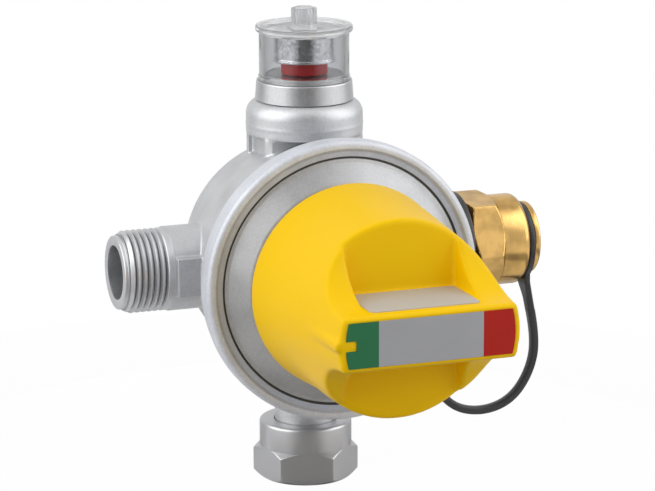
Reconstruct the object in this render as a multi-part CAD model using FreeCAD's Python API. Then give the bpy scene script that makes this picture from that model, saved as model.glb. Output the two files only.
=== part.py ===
import FreeCAD, Part
import math
import os

# Changeover pressure regulator for two gas cylinders, in millimetres.
#
# The two inlet axes run along X and the selector axis along Y, with the knob towards -Y. The outlet points
# down and the indicator up. Every piece is drawn about the crossing of the port axes, and export() lifts it
# so that the row's origin is the outlet's sealing face on the outlet axis.

Vec = FreeCAD.Vector
X_AXIS = Vec(1, 0, 0)
Y_AXIS = Vec(0, 1, 0)
Z_AXIS = Vec(0, 0, 1)
CENTRE = Vec(0, 0, 0)

# Fits and clearances
running_fit = 0.06           # radial, shaft in its bearing
slide_fit = 0.08             # radial, sliding piece in its bore
loose_fit = 0.3              # between pieces that pass each other
seat_fit = 0.02              # radial, between fixed pieces of one body

# Small rounds and allowances that many pieces share
edge_round = 0.25            # broken edges
small_round = 0.4
chamber_round = 3.0
cover_round = 1.5
edge_flat = 0.8              # short flats beside an edge
slot_spare = 0.5
key_inset = 1.0
overcut = 2.0                # how far a cutting shape reaches past what it cuts
on_face = 1e-3               # two places this close are the same

# Cast body
drum_front_r = 31.2          # bowl just behind the clamped flange
drum_back_r = 27.2
drum_back_y = 14.5
drum_back_round = 4.5
flange_step = 1.2            # the flange stands out from the bowl
flange_front_y = -23.6
flange_thickness = 2.9
body_wall = 3.6
rim_wall = 4.2               # from the bowl's outside to the chamber, at the flange
flange_r = drum_front_r + flange_step
flange_back_y = flange_front_y + flange_thickness
chamber_front_r = drum_front_r - rim_wall
chamber_back_y = drum_back_y - body_wall
chamber_taper = 1.2          # the chamber narrows this much faster than the bowl's outside
drum_slope = (drum_front_r - drum_back_r) / (drum_back_y - flange_back_y)

# Inlet ports, the same on both sides
port_end_x = 48.4
thread_r = 10.0              # M20 x 1.5, drawn as a plain cylinder
thread_length = 9.6
thread_lead_in = 2.5
port_nose = 0.8              # plain end in front of the lead-in
port_face_inset = 1.1        # from the thread's outside to the port's flat end
barrel_step = 0.25           # the barrel behind the thread is this much larger
port_bore_r = 6.3
port_bore_depth = 14.4
wrench_step = 1.3            # height of the raised pads above the thread
pad_height = 9.4
thread_start_x = port_end_x - thread_lead_in - thread_length
port_face_r = thread_r - port_face_inset
port_plain_r = thread_r + barrel_step
wrench_flats = 2 * (thread_r + wrench_step)
pad_end_x = thread_start_x - 0.3
pad_back_x = drum_back_r - 4.0

# Tower under the indicator
tower_width = 25.0
tower_depth = 17.0
tower_chamfer = 1.35
tower_top_z = 31.1
tower_foot_z = 12.0          # inside the bowl
tower_pocket_width = 11.6
tower_pocket_depth = 1.3
tower_pocket_foot_z = 20.0
tower_pocket_top_gap = 0.7
collar_r = 14.2
collar_height = 8.4
collar_round = 3.6
collar_bead = 0.12           # parting bead round the collar
collar_bead_rise = 2.5       # its height above the collar's foot
collar_bead_half = 0.5
base_thread_r = 9.0
base_thread_rise = 1.9       # floor of the tapped hole above the collar's foot
piston_r = 3.0
piston_room = 0.8            # radial, between the piston and the cast bore
collar_top_z = tower_top_z + collar_height
collar_bead_z = tower_top_z + collar_bead_rise
base_thread_z = tower_top_z + base_thread_rise

# Outlet
outlet_neck_r = 7.6
outlet_neck_top_z = -20.0    # inside the bowl
outlet_bore_r = 5.0
spigot_end_z = -45.2
outlet_seal_thickness = 1.4
thread_minor_r = 9.19        # M20 x 1.5 internal thread at its minor diameter
thread_relief = 0.91         # radial, from the minor diameter to the relief
thread_mouth_chamfer = 1.0
nut_above_end = 4.2          # top of the nut above the spigot's end
nut_height = 14.4
nut_collar_height = 6.5
nut_flats = 22.5
nut_collar_step = 0.15       # the round shoulder is this much larger than the flats
nut_shoulder = 1.8
nut_turn_deg = -18.0         # the hexagon's first corner, from the X axis
retaining_wire = 1.2
retaining_groove = 0.7
retaining_gap = 0.1
retaining_room = 0.44        # radial, from the ring to the thread's minor diameter
seat_z = spigot_end_z - outlet_seal_thickness
nut_top_z = spigot_end_z + nut_above_end
nut_mouth_z = nut_top_z - nut_height
nut_hex_top_z = nut_top_z - nut_collar_height
nut_collar_r = nut_flats / 2 + nut_collar_step
thread_relief_r = thread_minor_r + thread_relief
retaining_ring_r = thread_minor_r - retaining_room
retaining_top_z = nut_top_z - nut_shoulder - retaining_gap
retaining_groove_r = outlet_neck_r - retaining_groove

# Clamp ring, front cover and diaphragm
ring_wall = 1.7              # from the flange's edge to the ring's outside
ring_lip = 1.1               # thickness of the ring in front of the cover's flange
ring_foot = 1.0              # turned in behind the body's flange
ring_step = 1.5              # width of the flat inner lip
ring_groove = 0.25           # widths of the groove's two sides
ring_gap = 0.45              # radial, round the cover's raised edge
ring_bead_round = 1.45
diaphragm_thickness = 1.6
cover_flange = 1.8
cover_edge_width = 2.65      # from the raised edge out to the flange's edge
cover_edge_rise = 0.3
cover_cone_r = 24.4
cover_cone_rise = 4.0
cover_wall = 2.0
bonnet_r = 15.6
bonnet_wall = 2.1
bonnet_length = 23.3
bonnet_end_wall = 3.0
key_width = 4.0
key_depth = 1.2
diaphragm_front_y = flange_front_y - diaphragm_thickness
cover_flange_y = diaphragm_front_y - cover_flange
cover_edge_r = flange_r - cover_edge_width
cover_edge_y = cover_flange_y - cover_edge_rise
cover_cone_y = cover_edge_y - cover_cone_rise
bonnet_front_y = cover_cone_y - bonnet_length
bonnet_bore_r = bonnet_r - bonnet_wall
ring_r = flange_r + ring_wall
ring_inner_r = cover_edge_r + ring_gap
ring_front_y = cover_flange_y - ring_lip
ring_back_y = flange_back_y + ring_foot

# Diaphragm stack
convolution_gap = 3.8        # from the chamber's wall to the middle of the rolled convolution
convolution_section = 2.4
plate_r = 19.0
plate_thickness = 1.2
plate_rim = 1.2              # height of the rim that centres the spring
plate_rim_wall = 1.0
stem_r = 2.6
stem_thread_r = 2.5
stem_flange_r = 8.0
stem_flange = 1.5
stem_block_r = 4.2
stem_block_length = 4.8
stem_room = 1.0              # from the stem's end to the chamber's back
stem_thread_over = 0.8       # thread past the nut
stem_nut_flats = 8.0
stem_nut_height = 3.0
convolution_r = chamber_front_r - convolution_gap
plate_front_y = diaphragm_front_y - plate_thickness
stem_back_y = chamber_back_y - stem_room

# Inlet valves
lever_pivot_x = 11.7
lever_pivot_gap = 2.9        # from the pivots to the chamber's back
lever_tip_x = 1.7
lever_tip_r = 1.0
lever_arm = 1.4
lever_width = 3.2
lever_pin_r = 1.0
lever_hub_wall = 1.1
lever_ear = 2.4
valve_pad_r = 2.6
valve_pad_thickness = 1.5
valve_pad_holder = 0.5       # the holder's edge beyond the pad
valve_opening = 1.1          # between pad and nozzle at rest
nozzle_r = 2.2
nozzle_root = 1.0            # the nozzle's foot is this much larger
nozzle_bore_r = 1.1
nozzle_bore_length = 2.0
seat_boss_gap = 6.8          # from the lever's pivot to the boss's face
seat_boss_wall = 3.0
seat_flange = 1.4
seat_flange_thickness = 2.0
seat_thread_r = 4.6
seat_bore_r = 2.4
seat_throat_r = 1.5
filter_length = 7.0
filter_step = 0.8            # the strainer's pocket is this much smaller than the port's bore
filter_wall = 0.6
lever_pivot_y = chamber_back_y - lever_pivot_gap
seat_boss_x = lever_pivot_x + seat_boss_gap
seat_boss_r = seat_thread_r + seat_boss_wall
filter_r = port_bore_r - filter_step
filter_mouth_x = port_end_x - port_bore_depth
filter_end_x = filter_mouth_x - filter_length

# Setting spring, its threaded plate and the spindle
spring_wire = 1.8
spring_r = 9.6
spring_turns = 4.5
plate_travel = 2.0           # per half turn of the knob
plate_gap = 1.0              # from the spindle's collar to the threaded plate
spring_plate_thickness = 5.0
spindle_thread_r = 4.5
spindle_collar_r = 7.0
spindle_collar = 2.0
spindle_collar_gap = 0.05
spindle_r = 4.0
spindle_square = 6.4
spindle_groove = 0.7
spindle_shoulder = 0.6       # round length in front of the clip
clip_thickness = 0.8
clip_wall = 1.6
clip_mouth = 4.4
spindle_collar_y = bonnet_front_y + bonnet_end_wall
spring_plate_y = spindle_collar_y + spindle_collar + plate_gap
spring_front_y = spring_plate_y + spring_plate_thickness
clip_front_y = bonnet_front_y - clip_thickness - spindle_collar_gap
square_back_y = bonnet_front_y - clip_thickness - spindle_shoulder
spindle_groove_r = spindle_r - spindle_groove
clip_r = spindle_r + clip_wall

# Selector knob
knob_base_r = 25.0
knob_gap = 1.7               # between the knob and the front cover's face
knob_length = 50.0
knob_front_r = 21.6
knob_wall = 2.4
bar_half = 6.35              # half height of the grip bar
bar_wall = 2.2
scoop_r = 18.0
scoop_depth = 19.6
recess_half_front = 14.2
recess_half_back = 13.6
recess_flare = 0.03          # how much the recess widens per millimetre towards its mouth
knob_edge_round = 0.7
pointer_width = 2.1
pointer_height = 1.0
pointer_length = 19.0
pointer_root = 4.0           # the pointer's depth inside the bar
hub_r = 6.0
hub_gap = 2.0                # from the hub to the end of the spindle's square
socket_gap = 0.3
spindle_tip_depth = 11.0     # from the knob's front to the spindle's end
label_border = 1.15
label_margin = 1.4
label_thickness = 0.4
label_sink = 0.3
label_fit = 0.1
label_notch = 3.9            # depth of the notch for the pointer, from the knob's side
sticker_half = 13.2
sticker_depth = 16.2
sticker_gap = 0.5
sticker_thickness = 0.2
sticker_round = 1.5
screw_r = 2.0
screw_head_r = 3.8
screw_head = 2.2
screw_sink = 0.5             # from the label to the screw's head
screw_hold = 8.0             # thread in the spindle
tapped_spare = 2.0
drive_width = 1.0
drive_reach = 2.4
drive_depth = 1.2
knob_base_y = cover_cone_y - knob_gap
knob_front_y = knob_base_y - knob_length
knob_slope = (knob_base_r - knob_front_r) / knob_length
scoop_back_y = knob_front_y + scoop_depth
pointer_r = knob_front_r + pointer_height
pointer_back_y = knob_front_y + pointer_length
spindle_tip_y = knob_front_y + spindle_tip_depth
label_half_height = bar_half - label_border
label_notch_x = label_notch - knob_front_r
screw_head_y = knob_front_y + label_sink + screw_sink

# Indicator
base_step = 4.7              # height of the tapered step above the collar
base_low_r = 11.95
base_top_r = 11.6
base_register = 1.2
cap_wall_r = 10.93
cap_wall = 1.3
cap_height = 13.2
cap_flange_step = 0.87
cap_flange = 1.5
cap_recess_r = 9.7
cap_recess = 0.9
cap_plate = 1.0
nub_flats = 5.9
nub_height = 4.2
nub_bore_r = 2.0
nub_turn_deg = 10.0
nub_foot = 1.2
cup_r = 7.4
cup_wall = 0.7
cup_lip = 0.35
cup_lip_height = 0.5
cup_height = 5.9
sleeve_r = 5.6
sleeve_wall = 0.9
sleeve_floor = 1.2
sleeve_gap = 1.5             # between the base's top and the sleeve
sleeve_height = 4.9
piston_low_gap = 0.6
piston_groove = 0.9
piston_groove_rise = 2.9
piston_seal_section = 1.0
indicator_spring_wire = 0.75
indicator_spring_r = 3.9
indicator_spring_turns = 4.5
base_top_z = collar_top_z + base_step
base_register_r = cap_wall_r - cap_wall - slide_fit
cap_top_z = base_top_z + cap_height
cap_flange_r = cap_wall_r + cap_flange_step
cap_foot_z = cap_top_z - cap_recess
cap_plate_z = cap_foot_z - cap_plate
nub_top_z = cap_top_z + nub_height
cup_lip_z = cap_plate_z - cup_height
cup_lip_r = cup_r + cup_lip
sleeve_low_z = base_top_z + sleeve_gap
sleeve_top_z = sleeve_low_z + sleeve_height
piston_low_z = base_thread_z + piston_low_gap
piston_groove_z = piston_low_z + piston_groove_rise

# Blanking cap and its rubber tether
cap_flats = 22.5
cap_turn_deg = -24.0         # the hexagon's lowest corner, from straight down
cap_mouth_gap = 7.9          # from the cap's open face to the port's end
cap_hex_length = 8.2
cap_body_r = 11.3
cap_body_length = 7.1
cap_body_round = 0.9
cap_groove_r = 6.4
cap_groove = 1.9
cap_button_r = 9.0
cap_button = 1.6
cap_seal_thickness = 1.5
cap_seal_gap = 0.1
hex_chamfer_deg = 30.0
hex_chamfer_inset = 0.3      # the chamfer starts this much inside the flats
hex_shoulder_fall = 0.75     # slope of the chamfer towards the round part
tether_ring_section = 1.5
tether_ring_depth = 1.4      # the cap's ring is this much smaller than the cap's round body
tether_root_gap = 1.2        # from the thread's start to the root ring
tether_root_width = 2.6
tether_root_wall = 2.7
tether_hang = 0.7            # the cap's ring hangs this much below the cap's axis
cap_face_x = port_end_x - cap_mouth_gap
cap_hex_end_x = cap_face_x + cap_hex_length
cap_body_end_x = cap_hex_end_x + cap_body_length
cap_groove_end_x = cap_body_end_x + cap_groove
cap_floor_x = port_end_x + cap_seal_thickness + cap_seal_gap
tether_cap_ring_r = cap_body_r - tether_ring_depth
tether_root_x = thread_start_x + tether_root_gap
tether_root_r = port_plain_r + tether_root_wall
tether_r = 1.15
tether_tab_width = 5.0
tether_tab_bite = 0.15        # how deep the tab reaches into its ring
tether_bend_share = 0.45      # how much of the shorter run an arc takes at each end
tether_plane_y = -4.0        # the strap hangs in this plane, in front of the port axes
tether_route = [             # x and z, from the cap's ring down round the loop and up to the root ring
    (58.6, -18.0),
    (60.3, -26.0),
    (58.5, -34.4),
    (53.6, -41.0),
    (46.0, -43.3),
    (38.1, -41.6),
    (32.8, -35.4),
    (31.9, -26.2),
    (36.6, -18.6),
]

PARTS = "parts"


def rounded_wire(corners, place):
    """Closed wire through the corners (u, v, radius), each rounded by its radius, set in space by place."""
    count = len(corners)
    starts = []
    arcs = []
    ends = []
    for i, (u, v, radius) in enumerate(corners):
        here = Vec(u, v, 0)
        back = Vec(corners[i - 1][0], corners[i - 1][1], 0).sub(here)
        ahead = Vec(corners[(i + 1) % count][0], corners[(i + 1) % count][1], 0).sub(here)
        back.normalize()
        ahead.normalize()
        half = back.getAngle(ahead) / 2
        if radius > 0:
            setback = radius / math.tan(half)
            middle = back.add(ahead)
            middle.normalize()
            starts.append(here + back * setback)
            arcs.append(here + middle * (radius / math.sin(half) - radius))
            ends.append(here + ahead * setback)
        else:
            starts.append(here)
            arcs.append(None)
            ends.append(here)
    edges = []
    for i in range(count):
        if arcs[i] is not None:
            edges.append(Part.Arc(place(starts[i]), place(arcs[i]), place(ends[i])).toShape())
        following = starts[(i + 1) % count]
        if ends[i].distanceToPoint(following) > 1e-6:
            edges.append(Part.makeLine(place(ends[i]), place(following)))
    return Part.Wire(edges)


def with_radius(corners):
    """The corners as (u, v, radius), with 0 where no radius was given."""
    return [c if len(c) == 3 else (c[0], c[1], 0) for c in corners]


def turned_x(*corners):
    """Solid of revolution about X from corners (x, radius)."""
    wire = rounded_wire(with_radius(corners), lambda p: Vec(p.x, 0, p.y))
    return Part.Face(wire).revolve(CENTRE, X_AXIS, 360)


def turned_y(*corners):
    """Solid of revolution about Y from corners (radius, y)."""
    wire = rounded_wire(with_radius(corners), lambda p: Vec(p.x, p.y, 0))
    return Part.Face(wire).revolve(CENTRE, Y_AXIS, 360)


def turned_z(*corners):
    """Solid of revolution about Z from corners (radius, z)."""
    wire = rounded_wire(with_radius(corners), lambda p: Vec(p.x, 0, p.y))
    return Part.Face(wire).revolve(CENTRE, Z_AXIS, 360)


def rod(radius, start, axis, length):
    """Cylinder from the point start along axis."""
    return Part.makeCylinder(radius, length, start, axis)


def block(x, y, z):
    """Box between the pairs x, y and z."""
    return Part.makeBox(x[1] - x[0], y[1] - y[0], z[1] - z[0], Vec(x[0], y[0], z[0]))


def hexagon(across, start, axis, length, turn_deg):
    """Hexagonal prism along axis, its first corner turned by turn_deg from the X axis of a Z-wise one."""
    corner = across / math.sqrt(3)
    points = []
    for i in range(7):
        angle = math.radians(60 * i + turn_deg)
        points.append(Vec(corner * math.cos(angle), corner * math.sin(angle), 0))
    prism = Part.Face(Part.makePolygon(points)).extrude(Vec(0, 0, length))
    prism.Placement = FreeCAD.Placement(start, FreeCAD.Rotation(Z_AXIS, axis))
    return prism


def mirrored_x(shape):
    """The same piece on the other side of the YZ plane."""
    return shape.mirror(CENTRE, X_AXIS)


def joined(shape, *others):
    """Union with the seams between touching faces taken out."""
    return shape.fuse(list(others)).removeSplitter()


def coil(mean_r, wire_d, turns, height, axis, start):
    """Closed-end helical spring from start along axis, height overall."""
    rise = height - wire_d
    pitch = rise / turns
    helix = Part.makeLongHelix(pitch, rise, mean_r)
    along = Vec(0, mean_r, pitch / (2 * math.pi))
    section = Part.makeCircle(wire_d / 2, Vec(mean_r, 0, 0), along)
    sweep = Part.Wire(helix.Edges).makePipeShell([Part.Wire([section])], True, True)
    sweep.translate(Vec(0, 0, wire_d / 2))
    sweep.Placement = FreeCAD.Placement(start, FreeCAD.Rotation(Z_AXIS, axis)).multiply(sweep.Placement)
    return sweep


def drum_r(y):
    """Outer radius of the bowl at y."""
    return drum_front_r - drum_slope * (y - flange_back_y)


def knob_r(y):
    """Outer radius of the tapered knob at y."""
    return knob_base_r - knob_slope * (knob_base_y - y)


# ----------------------------------------------------------------------------------------------------
# Cast body


def port_outside():
    """Left port: threaded end, plain barrel and the two raised wrench pads."""
    barrel = turned_x(
        (-port_end_x, 0),
        (-port_end_x, port_face_r),
        (-port_end_x + port_nose, port_face_r),
        (-port_end_x + thread_lead_in, thread_r),
        (-thread_start_x, thread_r),
        (-thread_start_x, port_plain_r),
        (-seat_boss_x, port_plain_r),
        (-seat_boss_x, 0),
    )
    pad = block(
        (-pad_end_x, -pad_back_x),
        (-wrench_flats / 2, wrench_flats / 2),
        (-pad_height / 2, pad_height / 2),
    )
    return barrel.fuse(pad)


def tower_outside():
    """Cast block under the indicator, with a pocket in each side, and the round collar on it."""
    tower = block((-tower_width / 2, tower_width / 2), (-tower_depth / 2, tower_depth / 2),
                  (tower_foot_z, tower_top_z))
    upright = [e for e in tower.Edges if abs(e.Vertexes[0].X - e.Vertexes[1].X) < 1e-6
               and abs(e.Vertexes[0].Y - e.Vertexes[1].Y) < 1e-6]
    tower = tower.makeChamfer(tower_chamfer, upright)
    collar = turned_z(
        (0, tower_top_z),
        (collar_r, tower_top_z, small_round),
        (collar_r, collar_bead_z - collar_bead_half),
        (collar_r + collar_bead, collar_bead_z),
        (collar_r, collar_bead_z + collar_bead_half),
        (collar_r, collar_top_z, collar_round),
        (0, collar_top_z),
    )
    for side in (-1, 1):
        inner = side * (tower_width / 2 - tower_pocket_depth)
        outer = side * (tower_width / 2 + overcut)
        pocket = block(
            sorted((inner, outer)),
            (-tower_pocket_width / 2, tower_pocket_width / 2),
            (tower_pocket_foot_z, tower_top_z - tower_pocket_top_gap),
        )
        tower = tower.cut(pocket)
    return tower.fuse(collar)


def chamber():
    """Space behind the diaphragm, less the two bosses that hold the inlet nozzles."""
    slope = drum_slope * chamber_taper
    back_r = chamber_front_r - slope * (chamber_back_y - flange_front_y)
    space = turned_y(
        (0, flange_front_y - overcut),
        (chamber_front_r, flange_front_y - overcut),
        (chamber_front_r, flange_front_y),
        (back_r, chamber_back_y, chamber_round),
        (0, chamber_back_y),
    )
    boss = rod(seat_boss_r, Vec(-port_end_x, 0, 0), X_AXIS, port_end_x - seat_boss_x)
    return space.cut(boss).cut(mirrored_x(boss))


def lever_ears():
    """Two ears on the back wall that carry one lever's pin."""
    ears = []
    for z in (-lever_width / 2 - loose_fit - lever_ear, lever_width / 2 + loose_fit):
        ear = block(
            (-lever_pivot_x - lever_ear, -lever_pivot_x + lever_ear),
            (lever_pivot_y, chamber_back_y + overcut),
            (z, z + lever_ear),
        )
        cheek = rod(lever_ear, Vec(-lever_pivot_x, lever_pivot_y, z), Z_AXIS, lever_ear)
        ears.append(ear.fuse(cheek))
    return ears[0].fuse(ears[1])


def lever_pin():
    """Left lever's pivot pin, as long as the two ears are apart."""
    length = lever_width + 2 * loose_fit + 2 * lever_ear
    return rod(lever_pin_r, Vec(-lever_pivot_x, lever_pivot_y, -length / 2), Z_AXIS, length)


def port_bores():
    """Left port's mouth, filter pocket and the tapped hole for the nozzle."""
    return turned_x(
        (-port_end_x - overcut, 0),
        (-port_end_x - overcut, port_bore_r),
        (-filter_mouth_x, port_bore_r),
        (-filter_mouth_x, filter_r + seat_fit),
        (-filter_end_x, filter_r + seat_fit),
        (-filter_end_x, seat_thread_r),
        (-seat_boss_x + overcut, seat_thread_r),
        (-seat_boss_x + overcut, 0),
    )


def valve_body():
    """The die-cast body: bowl, flange, two inlet ports, tower and outlet neck, hollow inside."""
    bowl = turned_y(
        (0, flange_front_y),
        (flange_r, flange_front_y),
        (flange_r, flange_back_y),
        (drum_front_r, flange_back_y),
        (drum_r(drum_back_y), drum_back_y, drum_back_round),
        (0, drum_back_y),
    )
    port = port_outside()
    neck = turned_z(
        (0, outlet_neck_top_z),
        (outlet_neck_r, outlet_neck_top_z),
        (outlet_neck_r, spigot_end_z),
        (0, spigot_end_z),
    )
    body = joined(bowl, port, mirrored_x(port), tower_outside(), neck)
    body = body.cut(chamber())
    ears = lever_ears()
    body = joined(body, ears, mirrored_x(ears))
    hole = lever_pin()
    bores = port_bores()
    indicator_bore = turned_z(
        (0, tower_foot_z),
        (piston_r + piston_room, tower_foot_z),
        (piston_r + piston_room, base_thread_z),
        (base_thread_r, base_thread_z),
        (base_thread_r, collar_top_z + overcut),
        (0, collar_top_z + overcut),
    )
    outlet_start_z = spigot_end_z - overcut
    outlet_top_z = outlet_neck_top_z + overcut
    outlet = rod(outlet_bore_r, Vec(0, 0, outlet_start_z), Z_AXIS, outlet_top_z - outlet_start_z)
    groove = turned_z(
        (retaining_groove_r, retaining_top_z - retaining_wire),
        (outlet_neck_r + overcut, retaining_top_z - retaining_wire),
        (outlet_neck_r + overcut, retaining_top_z),
        (retaining_groove_r, retaining_top_z),
    )
    return body.cut([hole, mirrored_x(hole), bores, mirrored_x(bores), indicator_bore, outlet, groove])


def nut_retaining_ring():
    """Ring sprung into the spigot's groove, which the nut's shoulder pulls on."""
    low = retaining_top_z - retaining_wire
    return turned_z(
        (retaining_groove_r + seat_fit, retaining_top_z),
        (retaining_ring_r, retaining_top_z, edge_round),
        (retaining_ring_r, low, edge_round),
        (retaining_groove_r + seat_fit, low),
    )


def outlet_seal():
    """Flat rubber ring on the spigot's end. Its lower face is the outlet's sealing face."""
    return turned_z(
        (outlet_bore_r, spigot_end_z),
        (outlet_neck_r, spigot_end_z),
        (outlet_neck_r, seat_z),
        (outlet_bore_r, seat_z),
    )


def union_nut():
    """Union nut: round shoulder above, chamfered hexagon below, threaded bore with a relief at its end."""
    corner = nut_flats / math.sqrt(3)
    fall = math.tan(math.radians(hex_chamfer_deg))
    inside = nut_flats / 2 - hex_chamfer_inset
    limit = turned_z(
        (0, nut_top_z),
        (nut_collar_r, nut_top_z, cap_body_round),
        (nut_collar_r, nut_hex_top_z),
        (corner, nut_hex_top_z - (corner - nut_collar_r) * hex_shoulder_fall),
        (corner, nut_mouth_z + (corner - inside) * fall),
        (inside, nut_mouth_z),
        (0, nut_mouth_z),
    )
    height = nut_top_z - nut_mouth_z
    hexed = hexagon(nut_flats, Vec(0, 0, nut_mouth_z), Z_AXIS, height, nut_turn_deg)
    collar = rod(nut_collar_r, Vec(0, 0, nut_hex_top_z), Z_AXIS, nut_top_z - nut_hex_top_z)
    bore = turned_z(
        (0, nut_top_z + overcut),
        (outlet_neck_r + loose_fit / 2, nut_top_z + overcut),
        (outlet_neck_r + loose_fit / 2, nut_top_z - nut_shoulder),
        (thread_relief_r, nut_top_z - nut_shoulder),
        (thread_relief_r, seat_z),
        (thread_minor_r, seat_z),
        (thread_minor_r, nut_mouth_z + thread_mouth_chamfer),
        (thread_minor_r + thread_mouth_chamfer, nut_mouth_z),
        (thread_minor_r + thread_mouth_chamfer, nut_mouth_z - overcut),
        (0, nut_mouth_z - overcut),
    )
    return hexed.fuse(collar).common(limit).cut(bore)


# ----------------------------------------------------------------------------------------------------
# Clamp ring, cover and diaphragm


def clamp_ring():
    """Rolled ring that clamps cover and diaphragm: inner lip, small step, round bead, turned-in back."""
    wall_r = flange_r + seat_fit
    foot_r = drum_front_r + slide_fit
    lip_y = ring_front_y + ring_lip / 2
    step_r = ring_inner_r + ring_step
    bead_r = step_r + 2 * ring_groove
    return turned_y(
        (ring_inner_r, cover_flange_y),
        (ring_inner_r, lip_y, edge_round),
        (step_r, lip_y - edge_round),
        (step_r + ring_groove, lip_y + edge_round),
        (bead_r, ring_front_y, small_round),
        (ring_r, ring_front_y, ring_bead_round),
        (ring_r, ring_back_y, ring_bead_round),
        (foot_r, ring_back_y, small_round),
        (foot_r, flange_back_y),
        (wall_r, flange_back_y),
        (wall_r, cover_flange_y),
    )


def front_cover():
    """Cover disc: clamped flange, raised edge, shallow cone and the bonnet that holds the setting spring."""
    cone_inner_r = cover_cone_r - cover_wall / 2
    slot_front = spring_plate_y - slot_spare
    slot_back = cover_cone_y + cover_wall + overcut
    shell = turned_y(
        (chamber_front_r, diaphragm_front_y),
        (flange_r, diaphragm_front_y),
        (flange_r, cover_flange_y),
        (cover_edge_r, cover_flange_y),
        (cover_edge_r, cover_edge_y, edge_round),
        (cover_edge_r - edge_flat, cover_edge_y - edge_round),
        (cover_cone_r, cover_cone_y, cover_round),
        (bonnet_r, cover_cone_y, cover_round),
        (bonnet_r, bonnet_front_y, small_round),
        (spindle_r + running_fit, bonnet_front_y),
        (spindle_r + running_fit, spindle_collar_y),
        (bonnet_bore_r, spindle_collar_y, small_round),
        (bonnet_bore_r, cover_cone_y + cover_wall),
        (cone_inner_r, cover_cone_y + cover_wall, small_round),
    )
    for side in (-1, 1):
        slot = block(
            sorted((side * (bonnet_bore_r - overcut), side * (bonnet_bore_r + key_depth))),
            (slot_front, slot_back),
            (-key_width / 2 - slide_fit, key_width / 2 + slide_fit),
        )
        shell = shell.cut(slot)
    return shell


def diaphragm():
    """Rubber diaphragm: clamped rim, one rolled convolution and a flat middle."""
    front = diaphragm_front_y
    back = flange_front_y
    disc = turned_y(
        (stem_thread_r + seat_fit, back),
        (flange_r, back),
        (flange_r, front),
        (stem_thread_r + seat_fit, front),
    )
    inner_section = convolution_section - diaphragm_thickness / 2
    outer = Part.makeTorus(convolution_r, convolution_section, Vec(0, back, 0), Y_AXIS)
    inner = Part.makeTorus(convolution_r, inner_section, Vec(0, back, 0), Y_AXIS)
    behind = rod(flange_r, Vec(0, back, 0), Y_AXIS, convolution_section + overcut)
    mouth = turned_y(
        (convolution_r - inner_section, front - overcut),
        (convolution_r + inner_section, front - overcut),
        (convolution_r + inner_section, back),
        (convolution_r - inner_section, back),
    )
    roll = outer.common(behind)
    return disc.fuse(roll).cut(inner.common(behind)).cut(mouth)


def diaphragm_plate():
    """Pressed plate on the spring side of the diaphragm, with a rim that centres the spring."""
    centring_r = spring_r + spring_wire / 2 + loose_fit
    return turned_y(
        (stem_thread_r + seat_fit, diaphragm_front_y),
        (plate_r, diaphragm_front_y, small_round),
        (plate_r, plate_front_y, small_round),
        (centring_r + plate_rim_wall, plate_front_y),
        (centring_r + plate_rim_wall, plate_front_y - plate_rim, edge_round),
        (centring_r, plate_front_y - plate_rim, edge_round),
        (centring_r, plate_front_y),
        (stem_thread_r + seat_fit, plate_front_y),
    )


def diaphragm_stem():
    """Stem through the diaphragm: flange, rod, and a block with the cross slot that moves both levers."""
    front = plate_front_y - stem_nut_height - stem_thread_over
    block_front = stem_back_y - stem_block_length
    stem = turned_y(
        (0, front),
        (stem_thread_r, front, edge_round),
        (stem_thread_r, flange_front_y),
        (stem_flange_r, flange_front_y),
        (stem_flange_r, flange_front_y + stem_flange, small_round),
        (stem_r, flange_front_y + stem_flange),
        (stem_r, block_front),
        (stem_block_r, block_front, edge_round),
        (stem_block_r, stem_back_y, edge_round),
        (0, stem_back_y),
    )
    gap = lever_tip_r + loose_fit
    slot = block(
        (-stem_block_r - overcut, stem_block_r + overcut),
        (lever_pivot_y - gap, lever_pivot_y + gap),
        (-lever_width / 2 - loose_fit, lever_width / 2 + loose_fit),
    )
    return stem.cut(slot)


def stem_nut():
    """Hexagon nut that clamps plate and diaphragm on the stem."""
    nut = hexagon(stem_nut_flats, Vec(0, plate_front_y, 0), Vec(0, -1, 0), stem_nut_height, 0)
    return nut.cut(rod(stem_thread_r + seat_fit, Vec(0, plate_front_y + overcut, 0), Vec(0, -1, 0),
                       stem_nut_height + 2 * overcut))


def setting_spring():
    """Coil spring between the threaded plate and the diaphragm plate."""
    start = Vec(0, spring_front_y, 0)
    return coil(spring_r, spring_wire, spring_turns, plate_front_y - spring_front_y, Y_AXIS, start)


def spring_plate():
    """Threaded plate with two keys that slide in the bonnet, moved along by the spindle's thread."""
    plate = turned_y(
        (spindle_thread_r + running_fit, spring_plate_y),
        (bonnet_bore_r - slide_fit, spring_plate_y, small_round),
        (bonnet_bore_r - slide_fit, spring_front_y, small_round),
        (spindle_thread_r + running_fit, spring_front_y),
    )
    reach = bonnet_bore_r + key_depth - loose_fit
    bar = block((-reach, reach), (spring_plate_y + key_inset, spring_front_y - key_inset),
                (-key_width / 2, key_width / 2))
    hole = rod(spindle_thread_r + running_fit, Vec(0, spring_plate_y, 0), Y_AXIS, spring_plate_thickness)
    return joined(plate, bar.cut(hole))


# ----------------------------------------------------------------------------------------------------
# Inlet valves


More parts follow.
